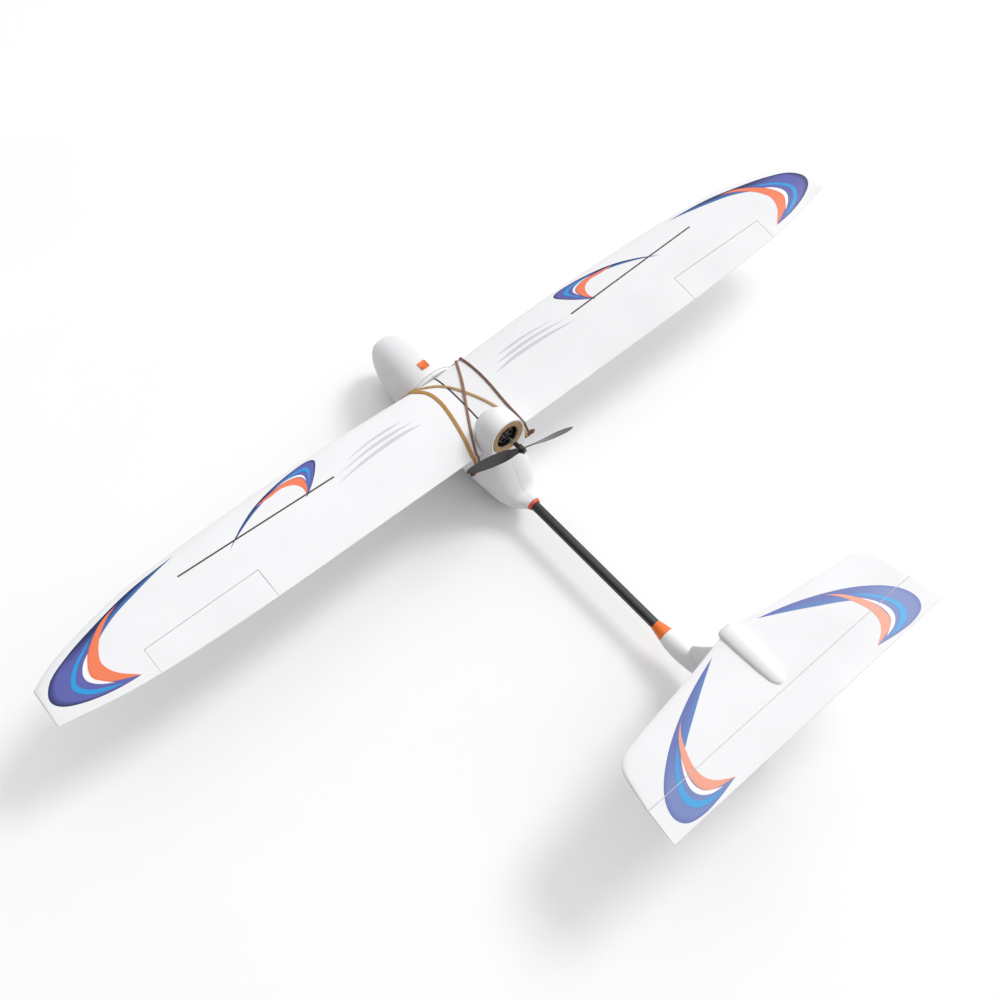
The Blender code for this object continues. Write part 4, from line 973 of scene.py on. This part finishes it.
def make_fin():
    fin = loft("fine_fin", [fin_ring(z) for z in spread(FIN_BOTTOM_Z, FIN_TOP_Z, 48)])
    wide_at = [(y, wide) for y, wide, _ in FIN_ROOT]
    deep_at = [(y, deep) for y, _, deep in FIN_ROOT]
    root = []
    for y in spread(FIN_ROOT[0][0], FIN_ROOT[-1][0], 36):
        wide, deep = spline(wide_at, y), spline(deep_at, y)
        root.append([at(wide * math.cos(a), y, BOOM_Z + deep * math.sin(a)) for a in circle(56)])
    combine(fin, loft("root", root), "UNION")
    combine(fin, rod("socket", at(0, 0.59, BOOM_Z), at(0, 0.661, BOOM_Z), BOOM_RADIUS + GAP, 48))
    low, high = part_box("rudder_servo")
    margin = SERVO_MARGIN
    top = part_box("rudder_servo_arm")[1].z + 0.004 - margin
    combine(fin, block("pocket", (-0.04, low.y - margin, low.z - margin),
                       (high.x + margin, high.y + margin, top)))
    stand_for(fin, "fin")


def make_rudder():
    top_z = 0.0865
    te_at = [(FIN_BOTTOM_Z, 0.850), (-0.128, 0.862), (-0.10, 0.868), (0.0, 0.868), (0.060, 0.866),
             (top_z, 0.862)]
    rings = []
    for z in spread(FIN_BOTTOM_Z, top_z, 40):
        te = spline(te_at, z)
        radius = min(spline(FIN_HALF_THICK, z) * 0.70, 0.0040)
        arc = [math.pi * (0.5 - k / 18) for k in range(19)]
        nose = [at(radius * math.sin(a), RUDDER_HINGE_Y - radius * math.cos(a), z) for a in arc]
        rings.append(nose + [at(-0.0008, te - 0.0006, z), at(0, te, z), at(0.0008, te - 0.0006, z)])
    stand_for(loft("fine_rudder", rings), "rudder")


STAB_HALF_SPAN = 0.3135
STAB_LE = [(0, 0.7105), (0.10, 0.7285), (0.20, 0.7420), (0.25, 0.7495), (0.285, 0.7585), (0.301, 0.776),
           (0.3085, 0.808), (STAB_HALF_SPAN, 0.8405)]
HINGE_HALF_THICK = 0.0034
STAB_CROWN = 0.0011
STAB_REAR_Y = ELEVATOR_HINGE_Y - 0.0004


def stab_half(x, s):
    """Half thickness of the stabilizer at x, at s from its nose (0) to the hinge (1)."""
    edge = 0.45 + 0.55 * quarter(max(0, abs(x) - 0.295) / 0.0186)
    nose = quarter(1 - s / 0.2) if s < 0.2 else 1
    return (HINGE_HALF_THICK * nose + STAB_CROWN * math.sin(math.pi * s)) * edge


def elevator_half(behind):
    return HINGE_HALF_THICK + (0.0008 - HINGE_HALF_THICK) * behind / (STAB_TE_Y - ELEVATOR_HINGE_Y)


def tail_top(x, y):
    """Height of the tailplane's top skin, on the stabilizer or on the elevator."""
    if y > ELEVATOR_HINGE_Y:
        return STAB_Z + elevator_half(y - ELEVATOR_HINGE_Y)
    le = spline(STAB_LE, abs(x))
    return STAB_Z + stab_half(x, min(max((y - le) / (STAB_REAR_Y - le), 0), 1))


# y, half width, height of the hump over the fin
FAIRING = [(0.7052, 0.0125, 0.0060), (0.708, 0.0165, 0.0105), (0.716, 0.0185, 0.0130),
           (0.745, 0.0192, 0.0145), (0.785, 0.0178, 0.0140), (0.815, 0.0150, 0.0118),
           (0.829, 0.0115, 0.0090), (0.836, 0.0060, 0.0060)]


def make_stabilizer():
    rings = []
    tips = [sign * x for sign in (-1, 1) for x in spread(0.285, STAB_HALF_SPAN, 14)]
    for x in sorted({round(v, 5) for v in spread(-0.285, 0.285, 76) + tips}):
        le = spline(STAB_LE, abs(x))
        half = [(le + t * (STAB_REAR_Y - le), stab_half(x, t)) for t in ease(26)]
        upper = [at(x, y, STAB_Z + h) for y, h in reversed(half)]
        rings.append(upper + [at(x, y, STAB_Z - h) for y, h in half[1:]])
    stab = loft("fine_stabilizer", rings)
    wide_at = [(y, wide) for y, wide, _ in FAIRING]
    high_at = [(y, high) for y, _, high in FAIRING]
    hump = []
    for y in [0.7052, 0.7060, 0.7070, 0.7085, 0.711] + spread(0.716, 0.836, 30):
        wide, high = spline(wide_at, y), spline(high_at, y)
        top = [at(wide * math.cos(a) * (1 + 0.06 * math.sin(2 * a) ** 2), y,
                  STAB_Z + high * math.sin(a) ** 0.8) for a in spread(0, math.pi, 36)]
        hump.append(top + [at(-wide * 0.8, y, STAB_Z - 0.002), at(wide * 0.8, y, STAB_Z - 0.002)])
    combine(stab, loft("hump", hump), "UNION")
    low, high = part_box("elevator_servo")
    margin = SERVO_MARGIN
    combine(stab, block("pocket", (low.x - margin, low.y - margin, low.z - 0.02),
                        (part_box("elevator_servo_arm")[1].x + 0.005, high.y + margin, high.z + margin)))
    stand_for(stab, "stabilizer")


def make_elevator():
    chord = STAB_TE_Y - ELEVATOR_HINGE_Y
    bevel = 0.0046
    edge = chord - 0.0006
    section = [(HINGE_DROP, HINGE_HALF_THICK)]
    section += [(b, elevator_half(b)) for b in spread(0.004, edge, 12)]
    section += [(chord, 0)] + [(b, -elevator_half(b)) for b in spread(edge, bevel, 12)]
    rings = []
    for part in spread(-1, 1, 40):
        rings.append([at(part * (STAB_HALF_SPAN + 0.0055 * back / chord), ELEVATOR_HINGE_Y + back,
                         STAB_Z + up) for back, up in section])
    stand_for(loft("fine_elevator", rings), "elevator")
    axis_z = STAB_Z + HINGE_HALF_THICK - HINGE_DROP
    ends = [at(x, ELEVATOR_HINGE_Y, axis_z) for x in (-0.296, 0.296)]
    skin = rod("elevator_hinge_skin", *ends, 0.00038, 16)
    extra(skin, "airframe", LOOKS["foam"])


# ---------------------------------------------------------------- motor, propeller, bands
def motor_axis():
    return Vector((0, math.cos(MOTOR_TILT), math.sin(MOTOR_TILT)))


def motor_place(along):
    return at(0, MOTOR_RING_Y, MOTOR_RING_Z) + motor_axis() * along


RECESS_DEPTH = 0.0033
RECESS_RADIUS = 0.0373
CHAMBER_DEPTH = 0.036
CHAMBER_RADIUS = 0.0250
RING_INNER, RING_OUTER, RING_THICK = 0.0255, 0.0370, 0.0030


def make_motor_pod():
    length = MOTOR_RING_Y - POD_FRONT_Y
    rings = []
    for t in ease(40):
        part = 0.006 + 0.994 * t
        y = POD_FRONT_Y + length * part
        wide = pod_half_width(y)
        top = 0.012 + (MOTOR_RING_Z + POD_HALF_WIDTH - 0.012) * wide / POD_HALF_WIDTH
        centre = max(top - wide, 0.004)
        lean = math.tan(MOTOR_TILT) * max(0, (part - 0.4) / 0.6)
        arc = [(wide * math.cos(a), centre + (top - centre) * math.sin(a))
               for a in spread(0, math.pi, 48)]
        outline = [(wide, -0.0012)] + arc + [(-wide, -0.0012)]
        rings.append([at(x, y - (z - MOTOR_RING_Z) * lean, z) for x, z in outline])
    pod = loft("fine_motor_pod", rings)
    combine(pod, rod("chamber", motor_place(-CHAMBER_DEPTH), motor_place(0.02), CHAMBER_RADIUS, 64))
    combine(pod, rod("recess", motor_place(-RECESS_DEPTH), motor_place(0.02), RECESS_RADIUS, 72))
    stand_for(pod, "motor_pod")
    pod.data.materials.append(LOOKS["black_plastic"])
    # Black for the bore, as painted shade: the white foam hole is made to read dark, as a deep hole in
    # shadow. With no front limit, this also takes in the front of the pod on the same axis.
    for face in pod.data.polygons:
        offset = face.center - motor_place(0)
        along = offset.dot(motor_axis())
        from_axis = (offset - motor_axis() * along).length
        if along < -RECESS_DEPTH - 0.0001 and from_axis < CHAMBER_RADIUS + 0.0002:
            face.material_index = 1
    ring = [(RING_OUTER, -RING_THICK), (RING_OUTER, 0), (RING_INNER, 0), (RING_INNER, -RING_THICK)]
    plate = turned("fine_motor_mount_ring", rounded_profile(ring, 0.0004), motor_place(0), motor_axis(), 96)
    stand_for(plate, "motor_mount_ring")


def make_windings():
    """Copper coils that bulge from the stator's open end, one on each tooth."""
    axis = motor_axis()
    across = Vector((1, 0, 0))
    up = axis.cross(across)
    teeth = 12
    for k, a in enumerate(circle(teeth)):
        outward = across * math.cos(a) + up * math.sin(a)
        aside = up * math.cos(a) - across * math.sin(a)
        place = motor_place(-0.0122)
        path = [place + outward * (0.0080 + 0.0080 * (1 - math.cos(math.pi * i / 10)) / 2)
                + axis * 0.0011 * math.sin(math.pi * i / 10) for i in range(11)]
        coil = sweep("winding_%02d" % k, path, aside, 0.0020, 0.0007, 12)
        extra(coil, "airframe", LOOKS["copper"])


CHORDS = [(0.004, 0.0100), (0.018, 0.0130), (0.041, 0.0215), (0.069, 0.0255), (0.096, 0.0245),
          (0.121, 0.0180), (0.134, 0.0100), (PROP_RADIUS, 0.0030)]
PROP_PITCH = 0.152


def make_propeller():
    """Two cambered blades of constant pitch on a round hub."""
    axis = motor_axis()
    centre = motor_place(0.0393)
    across = Vector((1, 0, 0))
    up = across.cross(axis)
    hub_shape = [(0.0072, -0.005), (0.0072, 0.005), (0.0028, 0.005), (0.0028, -0.005)]
    hub = turned("fine_propeller", rounded_profile(hub_shape, 0.0008), centre, axis, 64)
    for half_turn in (0, 1):
        a = PROP_ANGLE + math.pi * half_turn
        outward = across * math.cos(a) + up * math.sin(a)
        sideways = up * math.cos(a) - across * math.sin(a)
        rings = []
        for i in range(49):
            radius = 0.0045 + (PROP_RADIUS - 0.0045) * math.sin(math.pi / 2 * i / 48)
            pitch = min(math.atan(PROP_PITCH / (2 * math.pi * max(radius, 0.02))), math.radians(42))
            chord = spline(CHORDS, radius)
            wide = sideways * math.cos(pitch) - axis * math.sin(pitch)
            deep = outward.cross(wide)
            thick = 0.0030 - 0.0022 * radius / PROP_RADIUS
            rings.append([centre + outward * radius + wide * chord / 2 * math.cos(t)
                          + deep * (thick / 2 * math.sin(t) + 0.25 * thick * math.sin(t) ** 2)
                          for t in circle(28)])
        combine(hub, loft("blade", rings), "UNION")
    stand_for(hub, "propeller")


BAND_THICK = 0.0014
BANDS = {
    # name: half width, lift at the crossing, front dowel x, rear dowel x, (y, x) across the wing, colour
    "rubber_band_left": (0.0038, 0, 0.0765, 0.0680,
                         [(-0.0770, 0.0600), (-0.051, 0.040), (-0.015, 0.0345), (0.025, 0.039),
                          (0.077, 0.050), (0.1200, 0.0630)], (0.50, 0.26, 0.065)),
    "rubber_band_left_to_right": (0.0028, 0, 0.0690, -0.0600,
                                  [(-0.0770, 0.0510), (-0.046, 0.008), (-0.004, -0.017), (0.051, -0.040),
                                   (0.1200, -0.0575)], (0.50, 0.30, 0.12)),
    "rubber_band_right_to_left": (0.0028, 0.0024, -0.0690, 0.0600,
                                  [(-0.0770, -0.0580), (-0.021, -0.0285), (0.022, -0.002), (0.077, 0.031),
                                   (0.1200, 0.0540)], (0.29, 0.15, 0.095)),
    "rubber_band_right": (0.0028, 0, -0.0755, -0.0668,
                          [(-0.0770, -0.0690), (0.003, -0.0680), (0.069, -0.0640), (0.1200, -0.0645)],
                          (0.17, 0.075, 0.050)),
}
BAND_CROSS_Y = -0.005


def dowel_arc(x, place, start, end, steps=18):
    """Points round a dowel, from one angle to another in degrees from +Y towards +Z."""
    y, z = place
    radius = DOWEL_RADIUS + BAND_THICK / 2 + GAP
    angles = [math.radians(start + (end - start) * i / steps) for i in range(steps + 1)]
    return [at(x, y + radius * math.cos(a), z + radius * math.sin(a)) for a in angles]


def make_bands():
    clear = BAND_THICK / 2 + 0.0009
    for name, (half_width, lift, front_x, rear_x, plan, tone) in BANDS.items():
        side = math.copysign(1, front_x)
        first_x, last_x = plan[0][1], plan[-1][1]
        path = dowel_arc(front_x, FRONT_DOWEL, 330, 152)
        path.append(at(front_x - side * 0.0018, -0.0880, -0.0130))
        path.append(at(first_x + side * 0.0015, -0.0795, DIHEDRAL * abs(first_x) - 0.0005))
        path.append(at(first_x, -0.0775, DIHEDRAL * abs(first_x) + 0.0060))
        for y in spread(-0.0715, 0.1200, 60):
            x = spline(plan, y)
            hump = lift * math.exp(-((y - BAND_CROSS_Y) / 0.022) ** 2)
            path.append(at(x, y, wing_z(x, y) + clear + hump))
        path.append(at(last_x, 0.1265, wing_z(last_x, 0.1265) + 0.0002))
        path += dowel_arc(rear_x, REAR_DOWEL, 20, -150)
        band = sweep("fine_" + name, path, Vector((1, 0, 0)), half_width, BAND_THICK / 2, 20, 0.6)
        stand_for(band, name, rubber(name + "_rubber", tone), 80)


def make_band_loops():
    """The bands' loop ends, wound side by side round the dowels."""
    tone = rubber("red_brown_rubber", (0.26, 0.075, 0.035))
    for end, place, xs in (("front", FRONT_DOWEL, (0.0645, 0.0808)), ("rear", REAR_DOWEL, (0.0738, 0.0768))):
        for label, side in SIDES:
            for i, x in enumerate(xs):
                centre = at(side * x, *place)
                profile = [(DOWEL_RADIUS + GAP + 0.0008 + 0.0008 * math.cos(a), 0.0013 * math.sin(a))
                           for a in circle(16)]
                loop = turned("band_loop_%s_%s_%d" % (end, label, i), profile, centre, Vector((1, 0, 0)), 40)
                extra(loop, "airframe", tone, 80)


# ---------------------------------------------------------------- equipment and small CAD pieces
def rounded_block(name, node, radius):
    """The node's own block with well rounded edges."""
    obj = block(name, *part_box(node))
    bm = bmesh.new()
    bm.from_mesh(obj.data)
    bmesh.ops.bevel(bm, geom=bm.edges[:], offset=radius, segments=5, profile=0.5, affect="EDGES")
    bm.to_mesh(obj.data)
    bm.free()
    return stand_for(obj, node)


def dress_cad_nodes():
    """Every CAD node that is still shown gets its slot's material."""
    for name, obj in frame["nodes"].items():
        if not obj.hide_render:
            obj.data.materials.clear()
            obj.data.materials.append(LOOKS[SLOT_OF[name]])


# ---------------------------------------------------------------- stage
FLOOR_HALF = 9
FLOOR_Z = -0.004
KEY_PLACE = (-9.0, 1.0, 12.0)
KEY_TARGET = (0, 0, 0.1)
KEY_SIZE, KEY_POWER = 5.0, 800
SKY_STRENGTH = 1.30
BRIGHT_WAY = (-0.50, -0.10, 0.86)
BACKDROP = (0.72, 0.72, 0.73, 1)
CAMERA_AT = (0.8243, 0.7753, 2.0796)
CAMERA_AZIMUTH, CAMERA_ELEVATION, CAMERA_ROLL = 2.43182486, 1.03551107, 0.0011
LENS_MM, SENSOR_MM = 42.48, 36


def area_light(name, place, target, size, power):
    data = bpy.data.lights.new(name, "AREA")
    data.shape = "DISK"
    data.size = size
    data.energy = power
    obj = bpy.data.objects.new(name, data)
    bpy.context.scene.collection.objects.link(obj)
    obj.location = place
    obj.rotation_euler = (Vector(target) - Vector(place)).to_track_quat("-Z", "Y").to_euler()


def make_sky():
    """Soft studio dome: brightest up on the -X side. The camera sees a plain pale backdrop instead."""
    world = bpy.data.worlds.new("studio")
    world.use_nodes = True
    bpy.context.scene.world = world
    tree = world.node_tree
    toward = add(tree, "VectorMath", {"operation": "DOT_PRODUCT"})
    feed(tree, toward.inputs[0], add(tree, "TexCoord").outputs["Generated"])
    feed(tree, toward.inputs[1], BRIGHT_WAY)
    glow = ramp(tree, toward.outputs["Value"], [(0.0, 0.02), (0.30, 0.22), (0.62, 0.80), (1.0, 1.0)])
    seen = mix(tree, add(tree, "LightPath").outputs["Is Camera Ray"], glow, BACKDROP)
    feed(tree, tree.nodes["Background"].inputs["Color"], seen)
    feed(tree, tree.nodes["Background"].inputs["Strength"], SKY_STRENGTH)
    bpy.context.scene.view_settings.view_transform = "Standard"


def make_stage():
    corners = [(x * FLOOR_HALF, y * FLOOR_HALF, FLOOR_Z) for x, y in ((-1, -1), (1, -1), (1, 1), (-1, 1))]
    floor = raw("floor", corners, [(0, 1, 2, 3)])
    mat, tree, shader = blank("pale_floor", 0.75, Specular_IOR_Level=0.2)
    patch = noise(tree, object_space(tree), 2, 2)
    colour_by(tree, shader, patch, [(0.3, (0.905, 0.905, 0.91)), (0.7, (0.92, 0.92, 0.92))])
    floor.data.materials.append(mat)
    make_sky()
    area_light("key", KEY_PLACE, KEY_TARGET, KEY_SIZE, KEY_POWER)


def make_camera():
    flat = math.cos(CAMERA_ELEVATION)
    back = Vector((math.sin(CAMERA_AZIMUTH) * flat, -math.cos(CAMERA_AZIMUTH) * flat,
                   math.sin(CAMERA_ELEVATION)))
    right = (-back).cross(Vector((0, 0, 1))).normalized()
    up = right.cross(-back)
    turned_right = right * math.cos(CAMERA_ROLL) + up * math.sin(CAMERA_ROLL)
    turned_up = up * math.cos(CAMERA_ROLL) - right * math.sin(CAMERA_ROLL)
    data = bpy.data.cameras.new("photo_view")
    data.lens = LENS_MM
    data.sensor_width = SENSOR_MM
    camera = bpy.data.objects.new("photo_view", data)
    bpy.context.scene.collection.objects.link(camera)
    facing = Matrix((turned_right, turned_up, back)).transposed().to_4x4()
    camera.matrix_world = Matrix.Translation(CAMERA_AT) @ facing
    bpy.context.scene.camera = camera


for LABEL, SIDE in SIDES:
    make_wing(LABEL, SIDE)
    make_aileron(LABEL, SIDE)
    make_wing_decals(LABEL, SIDE)
    make_tail_decals(LABEL, SIDE)
    make_shell(LABEL, SIDE)
make_wing_seam()
make_hatch()
make_boom()
make_fin()
make_rudder()
make_stabilizer()
make_elevator()
make_motor_pod()
make_windings()
make_propeller()
make_bands()
make_band_loops()
rounded_block("fine_battery", "battery", 0.0040)
rounded_block("fine_speed_controller", "speed_controller", 0.0012)
rounded_block("fine_receiver", "receiver", 0.0012)
dress_cad_nodes()
make_stage()
make_camera()
